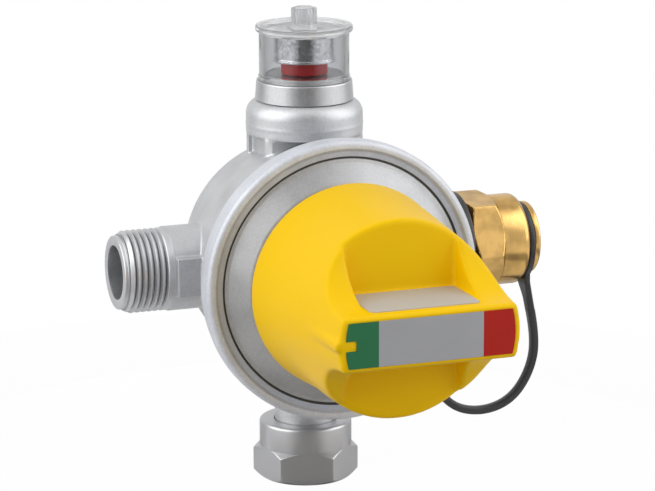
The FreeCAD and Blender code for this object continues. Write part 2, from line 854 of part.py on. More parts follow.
def inlet_seat():
    """Left nozzle, screwed into the port's inner boss, with its orifice towards the lever's pad."""
    tip_x = nozzle_tip_x()
    return turned_x(
        (-filter_end_x, seat_bore_r),
        (-filter_end_x, seat_thread_r - seat_fit),
        (-seat_boss_x, seat_thread_r - seat_fit),
        (-seat_boss_x, seat_thread_r + seat_flange),
        (-seat_boss_x + seat_flange_thickness, seat_thread_r + seat_flange, edge_round),
        (-seat_boss_x + seat_flange_thickness, nozzle_r + nozzle_root),
        (tip_x, nozzle_r),
        (tip_x, nozzle_bore_r),
        (tip_x - nozzle_bore_length, nozzle_bore_r),
        (tip_x - nozzle_bore_length - seat_throat_r + nozzle_bore_r, seat_throat_r),
        (-seat_boss_x, seat_throat_r),
        (-seat_boss_x - seat_bore_r + seat_throat_r, seat_bore_r),
    )


def nozzle_tip_x():
    """Where the nozzle ends, an opening away from the closed face of the pad."""
    return -lever_pivot_x - lever_arm / 2 - valve_pad_thickness - valve_opening


def inlet_filter():
    """Left inlet's strainer cup, in the pocket behind the port's mouth."""
    floor_x = filter_wall - filter_mouth_x
    return turned_x(
        (-filter_mouth_x, 0),
        (-filter_mouth_x, filter_r),
        (-filter_end_x, filter_r),
        (-filter_end_x, filter_r - filter_wall),
        (floor_x, filter_r - filter_wall),
        (floor_x, 0),
    )


def valve_lever():
    """Left bell-crank: hub on the pin, long arm to the stem's slot, short arm that carries the rubber pad."""
    low = -lever_width / 2
    pivot = Vec(-lever_pivot_x, lever_pivot_y, low)
    hub = rod(lever_pin_r + lever_hub_wall, pivot, Z_AXIS, lever_width)
    long_arm = block(
        (-lever_pivot_x, -lever_tip_x),
        (lever_pivot_y - lever_arm / 2, lever_pivot_y + lever_arm / 2),
        (low, -low),
    )
    tip = rod(lever_tip_r, Vec(-lever_tip_x, lever_pivot_y, low), Z_AXIS, lever_width)
    short_arm = block(
        (-lever_pivot_x - lever_arm / 2, -lever_pivot_x + lever_arm / 2),
        (-valve_pad_r, lever_pivot_y),
        (low, -low),
    )
    cup_x = -lever_pivot_x - lever_arm / 2
    holder = rod(valve_pad_r + valve_pad_holder, Vec(cup_x, 0, 0), X_AXIS, lever_arm)
    lever = joined(hub, long_arm, tip, short_arm, holder)
    return lever.cut(rod(lever_pin_r + running_fit, pivot, Z_AXIS, lever_width))


def valve_pad():
    """Rubber pad on the short arm's face, over the nozzle."""
    cup_x = -lever_pivot_x - lever_arm / 2
    return rod(valve_pad_r, Vec(cup_x - valve_pad_thickness, 0, 0), X_AXIS, valve_pad_thickness)


# ----------------------------------------------------------------------------------------------------
# Selector


def selector_spindle():
    """Spindle: square for the knob, journal in the bonnet, thrust collar, thread that moves the plate."""
    thread_end = spring_front_y + plate_travel + plate_gap
    thrust_y = spindle_collar_y + spindle_collar_gap
    shaft = turned_y(
        (0, square_back_y),
        (spindle_r, square_back_y),
        (spindle_r, thrust_y),
        (spindle_collar_r, thrust_y, small_round),
        (spindle_collar_r, spindle_collar_y + spindle_collar, small_round),
        (spindle_thread_r, spindle_collar_y + spindle_collar),
        (spindle_thread_r, thread_end, small_round),
        (0, thread_end),
    )
    half = spindle_square / 2
    square = block((-half, half), (spindle_tip_y, square_back_y), (-half, half))
    rounded = rod(spindle_r, Vec(0, spindle_tip_y, 0), Y_AXIS, square_back_y - spindle_tip_y)
    groove = turned_y(
        (spindle_groove_r, clip_front_y),
        (spindle_r + overcut, clip_front_y),
        (spindle_r + overcut, clip_front_y + clip_thickness),
        (spindle_groove_r, clip_front_y + clip_thickness),
    )
    tapped = rod(screw_r, Vec(0, spindle_tip_y - overcut, 0), Y_AXIS, overcut + screw_hold + tapped_spare)
    return shaft.fuse(square.common(rounded)).cut([groove, tapped])


def spindle_clip():
    """Clip in the spindle's groove, in front of the bonnet: a ring open on one side."""
    back = clip_front_y + clip_thickness
    ring = turned_y(
        (spindle_groove_r + seat_fit, clip_front_y),
        (clip_r, clip_front_y),
        (clip_r, back),
        (spindle_groove_r + seat_fit, back),
    )
    half = clip_mouth / 2
    mouth = block((-half, half), (clip_front_y - overcut, back + overcut), (-clip_r - overcut, 0))
    return ring.cut(mouth)


def grip_scoop(side):
    """What is taken away above (side 1) or below (side -1) the bar: a hollow scoop and a finger recess."""
    out_y = knob_front_y - overcut
    far = knob_base_r + overcut
    centre_y = scoop_back_y - scoop_r
    centre_z = bar_half + scoop_r
    low = Vec(0, centre_y, bar_half)
    halfway = scoop_r * math.sqrt(0.5)
    turn = Vec(0, centre_y + halfway, centre_z - halfway)
    high = Vec(0, scoop_back_y, centre_z)
    edges = [
        Part.makeLine(Vec(0, out_y, bar_half), low),
        Part.Arc(low, turn, high).toShape(),
        Part.makeLine(high, Vec(0, scoop_back_y, far)),
        Part.makeLine(Vec(0, scoop_back_y, far), Vec(0, out_y, far)),
        Part.makeLine(Vec(0, out_y, far), Vec(0, out_y, bar_half)),
    ]
    scoop = Part.Face(Part.Wire(edges)).extrude(Vec(2 * far, 0, 0))
    scoop.translate(Vec(-far, 0, 0))
    mouth = recess_half_front + (knob_front_y - out_y) * recess_flare
    plan = Part.makePolygon([
        Vec(-recess_half_back, scoop_back_y, bar_half),
        Vec(-mouth, out_y, bar_half),
        Vec(mouth, out_y, bar_half),
        Vec(recess_half_back, scoop_back_y, bar_half),
        Vec(-recess_half_back, scoop_back_y, bar_half),
    ])
    recess = Part.Face(plan).extrude(Vec(0, 0, far - bar_half))
    away = scoop.fuse(recess)
    if side < 0:
        away = away.mirror(CENTRE, Z_AXIS)
    return away


def knob_inside():
    """Hollow of the knob behind the scoops, and the slot that cores out the bar."""
    back = knob_base_y + overcut
    inner_front = scoop_back_y + knob_wall
    skirt = turned_y(
        (0, inner_front),
        (knob_r(inner_front) - knob_wall, inner_front, cover_round),
        (knob_r(back) - knob_wall, back),
        (0, back),
    )
    core_half = bar_half - bar_wall
    core_r = knob_front_r - knob_wall
    slot = rod(core_r, Vec(0, knob_front_y + knob_wall, 0), Y_AXIS, inner_front - knob_front_y)
    through = (knob_front_y, inner_front + overcut)
    slot = slot.common(block((-core_r, core_r), through, (-core_half, core_half)))
    return skirt.fuse(slot)


def selector_knob():
    """Moulded knob: tapered skirt, grip bar between two scoops, pointer rib, square hub for the spindle."""
    body = turned_y(
        (0, knob_front_y),
        (knob_front_r, knob_front_y),
        (knob_base_r, knob_base_y),
        (0, knob_base_y),
    )
    body = body.cut([grip_scoop(1), grip_scoop(-1)])
    body = body.makeFillet(knob_edge_round, rounded_edges(body))
    pointer = turned_y(
        (knob_front_r - pointer_root, knob_front_y),
        (pointer_r, knob_front_y, edge_round),
        (knob_r(pointer_back_y), pointer_back_y),
        (knob_front_r - pointer_root, pointer_back_y),
    )
    half = pointer_width / 2
    rib = block((-pointer_r - overcut, 0), (knob_front_y - overcut, pointer_back_y), (-half, half))
    pointer = pointer.common(rib)
    body = body.cut(knob_inside())
    hub_start = knob_front_y + label_sink + edge_flat
    hub = rod(hub_r, Vec(0, hub_start, 0), Y_AXIS, square_back_y - hub_gap - hub_start)
    side = spindle_square / 2 + running_fit
    socket_y = spindle_tip_y - socket_gap
    socket = block((-side, side), (socket_y, knob_base_y), (-side, side))
    socket = socket.common(rod(spindle_r + running_fit, Vec(0, socket_y, 0), Y_AXIS, knob_base_y - socket_y))
    outside = Vec(0, knob_front_y - overcut, 0)
    seat_y = screw_head_y + screw_head
    head = rod(screw_head_r + loose_fit, outside, Y_AXIS, seat_y - outside.y)
    shank = rod(screw_r + loose_fit, outside, Y_AXIS, spindle_tip_y - outside.y)
    label_pocket = label_plate(label_fit, label_sink + overcut)
    label_pocket.translate(Vec(0, -overcut, 0))
    body = joined(body, pointer, hub)
    return body.cut([socket, head, shank, label_pocket])


def rounded_edges(body):
    """Edges of the scooped blank that are rounded: rims of the scoops and outline of the bar's front."""
    chosen = []
    for edge in body.Edges:
        box = edge.BoundBox
        on_front = box.YMax < knob_front_y + on_face
        at_skirt = box.YMin > scoop_back_y + on_face
        touches_skin = all(abs(math.hypot(v.X, v.Z) - knob_r(v.Y)) < on_face for v in edge.Vertexes)
        if not at_skirt and (on_front or touches_skin):
            chosen.append(edge)
    return chosen


def label_plate(grow, depth):
    """Front label as a plate of the given depth: round ends about the axis and a notch for the pointer."""
    end_r = knob_front_r - label_margin + grow
    half = label_half_height + grow
    plate = rod(end_r, Vec(0, knob_front_y, 0), Y_AXIS, depth)
    through = (knob_front_y - overcut, knob_front_y + depth + overcut)
    plate = plate.common(block((-end_r, end_r), through, (-half, half)))
    notch_half = pointer_width / 2 - grow + label_fit
    notch = block((-end_r - overcut, label_notch_x - grow), through, (-notch_half, notch_half))
    return plate.cut(notch)


def front_label():
    """Coloured label on the bar's front, sunk in its pocket."""
    plate = label_plate(0, label_thickness)
    plate.translate(Vec(0, label_sink - label_thickness, 0))
    return plate


def grip_label():
    """Type label on the upper face of the bar, inside the finger recess."""
    back = scoop_back_y - sticker_gap
    front = back - sticker_depth
    plate = block((-sticker_half, sticker_half), (front, back), (bar_half, bar_half + sticker_thickness))
    corners = [e for e in plate.Edges if e.BoundBox.YMax < front + on_face
               and e.BoundBox.ZLength > sticker_thickness / 2]
    return plate.makeFillet(sticker_round, corners)


def knob_screw():
    """Pan-head screw under the front label that holds the knob on its spindle."""
    screw = turned_y(
        (0, screw_head_y),
        (screw_head_r, screw_head_y, small_round),
        (screw_head_r, screw_head_y + screw_head),
        (screw_r - seat_fit, screw_head_y + screw_head),
        (screw_r - seat_fit, spindle_tip_y + screw_hold),
        (0, spindle_tip_y + screw_hold),
    )
    half = drive_width / 2
    deep = (screw_head_y - overcut, screw_head_y + drive_depth)
    drive = block((-half, half), deep, (-drive_reach, drive_reach))
    drive = drive.fuse(block((-drive_reach, drive_reach), deep, (-half, half)))
    return screw.cut(drive)


# ----------------------------------------------------------------------------------------------------
# Indicator


def indicator_base():
    """Base screwed into the collar: tapered step, register for the clear cap, bore for the piston."""
    return turned_z(
        (piston_r + slide_fit, base_thread_z + loose_fit),
        (base_thread_r - seat_fit, base_thread_z + loose_fit, small_round),
        (base_thread_r - seat_fit, collar_top_z),
        (base_low_r, collar_top_z),
        (base_top_r, base_top_z, small_round),
        (base_register_r, base_top_z),
        (base_register_r, base_top_z + base_register, edge_round),
        (piston_r + slide_fit, base_top_z + base_register),
    )


def indicator_cap():
    """Clear cap: straight wall, flange and sunk top with a hollow hexagonal nub."""
    inner_r = cap_wall_r - cap_wall
    shell = turned_z(
        (inner_r, base_top_z),
        (cap_wall_r, base_top_z, edge_round),
        (cap_wall_r, cap_top_z - cap_flange, small_round),
        (cap_flange_r, cap_top_z - cap_flange, small_round),
        (cap_flange_r, cap_top_z, small_round),
        (cap_recess_r, cap_top_z, small_round),
        (cap_recess_r, cap_foot_z),
        (0, cap_foot_z),
        (0, cap_plate_z),
        (inner_r, cap_plate_z),
    )
    nub = hexagon(nub_flats, Vec(0, 0, cap_foot_z), Z_AXIS, nub_top_z - cap_foot_z, nub_turn_deg)
    foot = turned_z(
        (0, cap_foot_z),
        (nub_flats / 2 + nub_foot, cap_foot_z),
        (nub_flats / 2, cap_foot_z + nub_foot),
        (0, cap_foot_z + nub_foot),
    )
    hollow = rod(nub_bore_r, Vec(0, 0, cap_foot_z + cap_plate), Z_AXIS, nub_top_z - cap_foot_z)
    return joined(shell, nub, foot).cut(hollow)


def indicator_cup():
    """Plated cup that hides the sleeve when it is up, with a rolled lip."""
    return turned_z(
        (0, cap_plate_z),
        (cup_r, cap_plate_z, small_round),
        (cup_r, cup_lip_z + cup_lip_height),
        (cup_lip_r, cup_lip_z + cup_lip_height),
        (cup_lip_r, cup_lip_z),
        (cup_r - cup_wall, cup_lip_z),
        (cup_r - cup_wall, cap_plate_z - cup_wall),
        (0, cap_plate_z - cup_wall),
    )


def indicator_sleeve():
    """Red sleeve on the piston that gas pressure lifts into the cup."""
    groove_half = piston_seal_section / 2 + slide_fit
    groove_r = piston_r - piston_groove
    floor_z = sleeve_low_z + sleeve_floor
    return turned_z(
        (0, piston_low_z),
        (piston_r, piston_low_z, edge_round),
        (piston_r, piston_groove_z - groove_half),
        (groove_r, piston_groove_z - groove_half),
        (groove_r, piston_groove_z + groove_half),
        (piston_r, piston_groove_z + groove_half),
        (piston_r, sleeve_low_z),
        (sleeve_r, sleeve_low_z, edge_round),
        (sleeve_r, sleeve_top_z, edge_round),
        (sleeve_r - sleeve_wall, sleeve_top_z),
        (sleeve_r - sleeve_wall, floor_z),
        (0, floor_z),
    )


def piston_seal():
    """O-ring in the piston's groove."""
    section_r = piston_seal_section / 2 - seat_fit
    middle_r = piston_r + running_fit - section_r
    return Part.makeTorus(middle_r, section_r, Vec(0, 0, piston_groove_z), Z_AXIS)


def indicator_spring():
    """Light coil spring between the sleeve's floor and the cup's top."""
    low = sleeve_low_z + sleeve_floor
    high = cap_plate_z - cup_wall
    start = Vec(0, 0, low)
    return coil(indicator_spring_r, indicator_spring_wire, indicator_spring_turns, high - low, Z_AXIS, start)


# ----------------------------------------------------------------------------------------------------
# Blanking cap and tether


def blanking_cap():
    """Brass cap on the second inlet: chamfered hexagon, round body, groove and button for the tether."""
    corner = cap_flats / math.sqrt(3)
    fall = math.tan(math.radians(hex_chamfer_deg))
    inside = cap_flats / 2 - hex_chamfer_inset
    end_x = cap_groove_end_x + cap_button
    limit = turned_x(
        (cap_face_x, 0),
        (cap_face_x, inside),
        (cap_face_x + (corner - inside) * fall, corner),
        (cap_hex_end_x - (corner - cap_body_r) * hex_shoulder_fall, corner),
        (cap_hex_end_x, cap_body_r),
        (cap_body_end_x, cap_body_r, cap_body_round),
        (cap_body_end_x, cap_groove_r),
        (cap_groove_end_x, cap_groove_r),
        (cap_groove_end_x, cap_button_r, edge_round),
        (end_x, cap_button_r, small_round),
        (end_x, 0),
    )
    hexed = hexagon(cap_flats, Vec(cap_face_x, 0, 0), X_AXIS, cap_hex_end_x - cap_face_x, cap_turn_deg)
    tail = rod(corner, Vec(cap_hex_end_x, 0, 0), X_AXIS, end_x - cap_hex_end_x)
    bore = rod(thread_r + slide_fit, Vec(cap_face_x - overcut, 0, 0), X_AXIS,
               cap_floor_x - cap_face_x + overcut)
    return hexed.fuse(tail).common(limit).cut(bore)


def cap_seal():
    """Rubber disc in the bottom of the blanking cap."""
    start = Vec(cap_floor_x - cap_seal_thickness, 0, 0)
    return rod(thread_r - loose_fit, start, X_AXIS, cap_seal_thickness)


def tether_cap_ring():
    """Rubber ring that turns in the cap's groove, with the tab that the strap hangs from."""
    middle_x = cap_body_end_x + cap_groove / 2
    half = tether_ring_section / 2
    inner_r = cap_groove_r + tether_hang + loose_fit
    ring = turned_x(
        (middle_x - half, inner_r),
        (middle_x - half, tether_cap_ring_r, edge_round),
        (middle_x + half, tether_cap_ring_r, edge_round),
        (middle_x + half, inner_r),
    )
    ring.translate(Vec(0, 0, -tether_hang))
    return joined(ring, strap_tab(0, 1, middle_x, tether_ring_section, tether_cap_ring_r, tether_hang))


def tether_body_ring():
    """Rubber ring round the root of the second inlet, with its tab for the strap."""
    ring = turned_x(
        (tether_root_x, port_plain_r + seat_fit),
        (tether_root_x, tether_root_r, small_round),
        (tether_root_x + tether_root_width, tether_root_r, small_round),
        (tether_root_x + tether_root_width, port_plain_r + seat_fit),
    )
    middle_x = tether_root_x + tether_root_width / 2
    return joined(ring, strap_tab(-1, -2, middle_x, tether_root_width, tether_root_r, 0))


def route_point(index):
    """One point of the tether's route in space."""
    x, z = tether_route[index]
    return Vec(x, tether_plane_y, z)


def strap_end(last, before):
    """Round outline of the strap at one of its ends."""
    end = route_point(last)
    return Part.Wire([Part.makeCircle(tether_r, end, route_point(before).sub(end))])


def strap_tab(last, before, ring_x, thickness, ring_r, drop):
    """Flat tab under a ring that narrows to the strap's round end."""
    near_y = tether_plane_y - tether_tab_width / 2
    far_y = tether_plane_y + tether_tab_width / 2
    near_x = ring_x - thickness / 2
    far_x = ring_x + thickness / 2
    top = tether_tab_bite - math.sqrt(ring_r ** 2 - near_y ** 2) - drop
    low = -tether_tab_bite - math.sqrt(ring_r ** 2 - far_y ** 2) - drop
    flat = block((near_x, far_x), (near_y, far_y), (low, top))
    corners = [(near_x, near_y), (far_x, near_y), (far_x, far_y), (near_x, far_y), (near_x, near_y)]
    edge = Part.makePolygon([Vec(x, y, low) for x, y in corners])
    return flat.fuse(Part.makeLoft([edge, strap_end(last, before)], True))


def strap_path():
    """Straight runs of the tether joined by tangent arcs, each as large as its two runs allow."""
    points = [route_point(i) for i in range(len(tether_route))]
    edges = []
    here = points[0]
    for before, corner, after in zip(points, points[1:], points[2:]):
        back = before.sub(corner)
        ahead = after.sub(corner)
        shorter = min(back.Length, ahead.Length)
        back.normalize()
        ahead.normalize()
        half = back.getAngle(ahead) / 2
        setback = tether_bend_share * shorter
        radius = setback * math.tan(half)
        middle = back.add(ahead)
        middle.normalize()
        start = corner + back * setback
        end = corner + ahead * setback
        crown = corner + middle * (radius / math.sin(half) - radius)
        edges.append(Part.makeLine(here, start))
        edges.append(Part.Arc(start, crown, end).toShape())
        here = end
        print("tether bend radius", round(radius, 1))
    edges.append(Part.makeLine(here, points[-1]))
    return Part.Wire(edges)


def tether_strap():
    """Rubber strap that keeps the blanking cap on the body."""
    path = strap_path()
    strap = path.makePipeShell([strap_end(0, 1)], True, True)
    print("tether length", round(path.Length, 1), "volume ratio",
          round(strap.Volume / (path.Length * math.pi * tether_r ** 2), 4))
    return strap


# ----------------------------------------------------------------------------------------------------


def pieces():
    """Every piece by its node's name."""
    seat = inlet_seat()
    strainer = inlet_filter()
    lever = valve_lever()
    pad = valve_pad()
    pin = lever_pin()
    return {
        "valve_body": valve_body(),
        "clamp_ring": clamp_ring(),
        "front_cover": front_cover(),
        "diaphragm": diaphragm(),
        "diaphragm_plate": diaphragm_plate(),
        "diaphragm_stem": diaphragm_stem(),
        "stem_nut": stem_nut(),
        "setting_spring": setting_spring(),
        "spring_plate": spring_plate(),
        "inlet_seat_left": seat,
        "inlet_seat_right": mirrored_x(seat),
        "inlet_filter_left": strainer,
        "inlet_filter_right": mirrored_x(strainer),
        "valve_lever_left": lever,
        "valve_lever_right": mirrored_x(lever),
        "valve_pad_left": pad,
        "valve_pad_right": mirrored_x(pad),
        "lever_pin_left": pin,
        "lever_pin_right": mirrored_x(pin),
        "selector_spindle": selector_spindle(),
        "spindle_clip": spindle_clip(),
        "selector_knob": selector_knob(),
        "front_label": front_label(),
        "grip_label": grip_label(),
        "knob_screw": knob_screw(),
        "indicator_base": indicator_base(),
        "indicator_cap": indicator_cap(),
        "indicator_cup": indicator_cup(),
        "indicator_sleeve": indicator_sleeve(),
        "piston_seal": piston_seal(),
        "indicator_spring": indicator_spring(),
        "union_nut": union_nut(),
        "nut_retaining_ring": nut_retaining_ring(),
        "outlet_seal": outlet_seal(),
        "blanking_cap": blanking_cap(),
        "cap_seal": cap_seal(),
        "tether_cap_ring": tether_cap_ring(),
        "tether_body_ring": tether_body_ring(),
        "tether_strap": tether_strap(),
    }


def export(name, shape):
    """Write one piece, lifted so that the outlet's sealing face is at height zero."""
    solids = shape.Solids
    placed = solids[0].copy() if len(solids) == 1 else Part.makeCompound(solids)
    placed.translate(Vec(0, 0, -seat_z))
    print(name, "solids", len(solids), "valid", placed.isValid(), "volume", round(placed.Volume, 1))
    placed.exportStep(os.path.join(PARTS, name + ".step"))


os.makedirs(PARTS, exist_ok=True)
for name, shape in pieces().items():
    export(name, shape)
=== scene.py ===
import math
import bmesh
import bpy
import numpy as np
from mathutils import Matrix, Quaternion, Vector


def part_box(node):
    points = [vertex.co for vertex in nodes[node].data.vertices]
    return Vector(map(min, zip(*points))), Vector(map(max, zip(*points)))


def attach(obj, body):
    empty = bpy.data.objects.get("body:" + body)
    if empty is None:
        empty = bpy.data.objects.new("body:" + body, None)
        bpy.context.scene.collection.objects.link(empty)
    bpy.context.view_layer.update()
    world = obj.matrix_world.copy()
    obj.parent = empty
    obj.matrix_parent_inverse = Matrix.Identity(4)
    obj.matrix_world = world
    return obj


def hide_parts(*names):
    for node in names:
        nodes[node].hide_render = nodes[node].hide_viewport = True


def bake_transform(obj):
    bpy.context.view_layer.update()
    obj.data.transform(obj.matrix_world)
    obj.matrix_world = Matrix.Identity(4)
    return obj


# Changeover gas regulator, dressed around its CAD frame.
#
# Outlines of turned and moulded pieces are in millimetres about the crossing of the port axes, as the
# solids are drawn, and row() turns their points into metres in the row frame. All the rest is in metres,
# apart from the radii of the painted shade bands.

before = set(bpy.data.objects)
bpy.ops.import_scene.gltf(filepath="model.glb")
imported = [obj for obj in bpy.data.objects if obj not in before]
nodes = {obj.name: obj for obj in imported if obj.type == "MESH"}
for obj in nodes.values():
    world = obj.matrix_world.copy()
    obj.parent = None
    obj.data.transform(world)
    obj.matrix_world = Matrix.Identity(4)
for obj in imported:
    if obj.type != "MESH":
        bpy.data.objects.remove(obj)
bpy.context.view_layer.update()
scene = bpy.context.scene
scene.view_settings.view_transform = "Standard"

# Camera
# A long lens in front of the regulator, about 20 degrees to its left and 13 degrees above it, aimed at the
# crossing of the port axes and rolled by a tenth of a degree.
camera_place = Vector((-0.25733, -0.71894, 0.23259))
camera_aim = Vector((0.00591, 0.0, 0.04872))
camera_roll = math.radians(-0.116)
camera_data = bpy.data.cameras.new("camera")
camera_data.sensor_width = 36
camera_data.lens = 176.32
camera = bpy.data.objects.new("camera", camera_data)
scene.collection.objects.link(camera)
camera.location = camera_place
looking = (camera_aim - camera_place).to_track_quat("-Z", "Y")
camera.rotation_euler = (looking @ Quaternion((0, 0, 1), camera_roll)).to_euler()
scene.camera = camera

# Tether strap
# Flat black rubber, moulded in one with its two rings. It leaves the ring on the blanking cap, hangs in a
# loop and comes up to the ring on the body, so that the loose cap stays with the regulator.
strap_half_width = 0.00115
strap_half_thickness = 0.00105
strap_flare = 0.00025        # each half of the width gains this much at a ring
strap_flare_length = 0.006


def grid(name, rows, tube=False):
    """Mesh of four-cornered faces over a table of points, rows x columns.

    Each row is joined up into a ring, and tube joins the last row to the first as well.
    """
    rows = np.asarray(rows, float)
    high, wide = rows.shape[:2]
    index = np.arange(high * wide).reshape(high, wide)
    index = np.hstack([index, index[:, :1]])
    index = np.vstack([index, index[:1]]) if tube else index
    faces = np.stack([index[:-1, :-1], index[:-1, 1:], index[1:, 1:], index[1:, :-1]], axis=-1)
    mesh = bpy.data.meshes.new(name)
    mesh.from_pydata(rows.reshape(-1, 3).tolist(), [], faces.reshape(-1, 4).tolist())
    return mesh


def closed(mesh, sharp=32):
    """Merges points that coincide, turns faces outward and smooths edges of up to sharp degrees."""
    same_place = 2e-6
    no_length = 1e-7
    work = bmesh.new()
    work.from_mesh(mesh)
    bmesh.ops.remove_doubles(work, verts=work.verts, dist=same_place)
    bmesh.ops.dissolve_degenerate(work, edges=work.edges, dist=no_length)
    bmesh.ops.recalc_face_normals(work, faces=work.faces)
    work.to_mesh(mesh)
    work.free()
    mesh.polygons.foreach_set("use_smooth", [True] * len(mesh.polygons))
    mesh.set_sharp_from_angle(angle=math.radians(sharp))
    return mesh


def piece(name, mesh, material, slot, body, *stands_for):
    """Object of a mesh with its material, on a body and in place of CAD nodes."""
    made = bpy.data.objects.new(name, mesh)
    scene.collection.objects.link(made)
    mesh.materials.clear()
    mesh.materials.append(material)
    if body:
        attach(made, body)
    if stands_for:
        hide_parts(*stands_for)
    return made


def feed(node, inputs):
    """Fills a node's inputs, by the socket's name or place: values, or other nodes' outputs to join."""
    for name, value in inputs.items():
        if isinstance(value, bpy.types.NodeSocket):
            node.id_data.links.new(value, node.inputs[name])
        else:
            node.inputs[name].default_value = value


def add(tree, kind, inputs=None, **settings):
    """New shader node with its settings and its inputs."""
    made = tree.nodes.new("ShaderNode" + kind)
    for name, value in settings.items():
        setattr(made, name, value)
    feed(made, inputs or {})
    return made


def maths(tree, operation, *values):
    """Output of a Math node: an operation on numbers."""
    return add(tree, "Math", dict(enumerate(values)), operation=operation).outputs[0]


def vectors(tree, operation, *values, **named):
    """Output of a Vector Math node: a number for LENGTH and DOT_PRODUCT, otherwise a vector or colour."""
    made = add(tree, "VectorMath", {**dict(enumerate(values)), **named}, operation=operation)
    return made.outputs["Value" if operation in ("LENGTH", "DOT_PRODUCT") else "Vector"]


def ranged(tree, value, start, end, first, last):
    """A number that runs from first to last as the value runs from start to end, and stays there beyond."""
    inputs = {"Value": value, "From Min": start, "From Max": end, "To Min": first, "To Max": last}
    return add(tree, "MapRange", inputs).outputs[0]


def object_place(tree):
    """The point's place in the piece's own coordinates, in metres."""
    return add(tree, "TexCoord").outputs["Object"]


def noise(tree, place, scale, detail, roughness=0.5):
    """Noise from 0 to 1 over a place, with about scale waves in a metre."""
    inputs = {"Vector": place, "Scale": scale, "Detail": detail, "Roughness": roughness}
    return add(tree, "TexNoise", inputs).outputs[0]


def shader(name):
    """New material with its node tree and its Principled shader."""
    made = bpy.data.materials.new(name)
    made.use_nodes = True
    return made, made.node_tree, made.node_tree.nodes["Principled BSDF"]


def group(name, inputs, outputs):
    """New node group with its sockets: its tree, its inputs and its output node."""
    tree = bpy.data.node_groups.new(name, "ShaderNodeTree")
    for label, kind, value in inputs:
        made = tree.interface.new_socket(label, in_out="INPUT", socket_type="NodeSocket" + kind)
        made.default_value = value
    for label, kind in outputs:
        tree.interface.new_socket(label, in_out="OUTPUT", socket_type="NodeSocket" + kind)
    return tree, tree.nodes.new("NodeGroupInput").outputs, tree.nodes.new("NodeGroupOutput")


def placed_group(tree, name, build, values):
    """Outputs of a node group placed in a material with values; build makes the group the first time."""
    made = tree.nodes.new("ShaderNodeGroup")
    made.node_tree = bpy.data.node_groups.get(name) or build()
    feed(made, values)
    return made.outputs


def grain_group():
    """Fine grain over slow patches.

    Colour = Base * (1 + Spread * (patches + grain - 1)). Normal is a bump of the grain, and Mask the grain.
    """
    tree, given, out = group(
        "grain",
        [("Base", "Color", (1, 1, 1, 1)), ("Size", "Float", 1500.0), ("Spread", "Float", 0.1),
         ("Depth", "Float", 0.00004)],
        [("Colour", "Color"), ("Normal", "Vector"), ("Mask", "Float")])
    place = object_place(tree)
    fine = noise(tree, place, given["Size"], detail=3.0, roughness=0.6)
    slow = noise(tree, place, 110.0, detail=2.0, roughness=0.5)
    middle = maths(tree, "SUBTRACT", maths(tree, "ADD", fine, slow), 1.0)
    shade = maths(tree, "MULTIPLY_ADD", middle, given["Spread"], 1.0)
    colour = vectors(tree, "SCALE", given["Base"], Scale=shade)
    bump = add(tree, "Bump", {"Height": fine, "Distance": given["Depth"], "Strength": 1.0}).outputs[0]
    feed(out, {"Colour": colour, "Normal": bump, "Mask": fine})
    return tree


def grained(name, colour, metallic, roughness, size=1500.0, spread=0.15, depth=0.00003):
    """Material with the grain group's colour and normal, whose roughness follows the grain a little."""
    made, tree, principled = shader(name)
    grain = placed_group(tree, "grain", grain_group,
                         {"Base": (*colour, 1), "Size": size, "Spread": spread, "Depth": depth})
    rough = ranged(tree, grain["Mask"], 0.3, 0.7, roughness - 0.05, roughness + 0.05)
    feed(principled, {"Base Color": grain["Colour"], "Normal": grain["Normal"], "Roughness": rough,
                      "Metallic": metallic})
    return made


def once_round(count):
    """That many angles, evenly spaced over a full turn."""
    return np.linspace(0, 2 * math.pi, count, endpoint=False)


def flat_oval(sides=24):
    """Flat section with round edges: sign(cos a) * |cos a|^0.6 across, and the same of sin a through."""
    turn = once_round(sides)
    return tuple(np.sign(part) * np.abs(part) ** 0.6 for part in (np.cos(turn), np.sin(turn)))


def capped(line, rows):
    """Rows round a line, with its first and last points as rows of their own that close both ends."""
    first, last = (np.repeat(line[end][None, None], rows.shape[1], axis=1) for end in (0, -1))
    return np.concatenate([first, rows, last])


def strap_section(path):
    """Rounded flat section along the path, widest where it leaves either ring.

    point = path + y * w * across(a) + n * t * through(a), with flat_oval's two parts, n square to the path
    and to Y, and t half the thickness. With d the distance to the nearer end,
    w = half width + flare * exp(-d / flare length).
    """
    path = np.array(path)
    ahead = np.gradient(path, axis=0)
    ahead /= np.linalg.norm(ahead, axis=1, keepdims=True)
    normal = np.cross(ahead, [0, 1, 0])
    gone = np.concatenate([[0], np.cumsum(np.linalg.norm(np.diff(path, axis=0), axis=1))])
    to_ring = np.minimum(gone, gone[-1] - gone)
    half_width = (strap_half_width + strap_flare * np.exp(-to_ring / strap_flare_length))[:, None, None]
    across, through = flat_oval()
    rows = (path[:, None] + half_width * across[:, None] * np.array([0, 1, 0])
            + strap_half_thickness * through[:, None] * normal[:, None])
    return capped(path, rows)


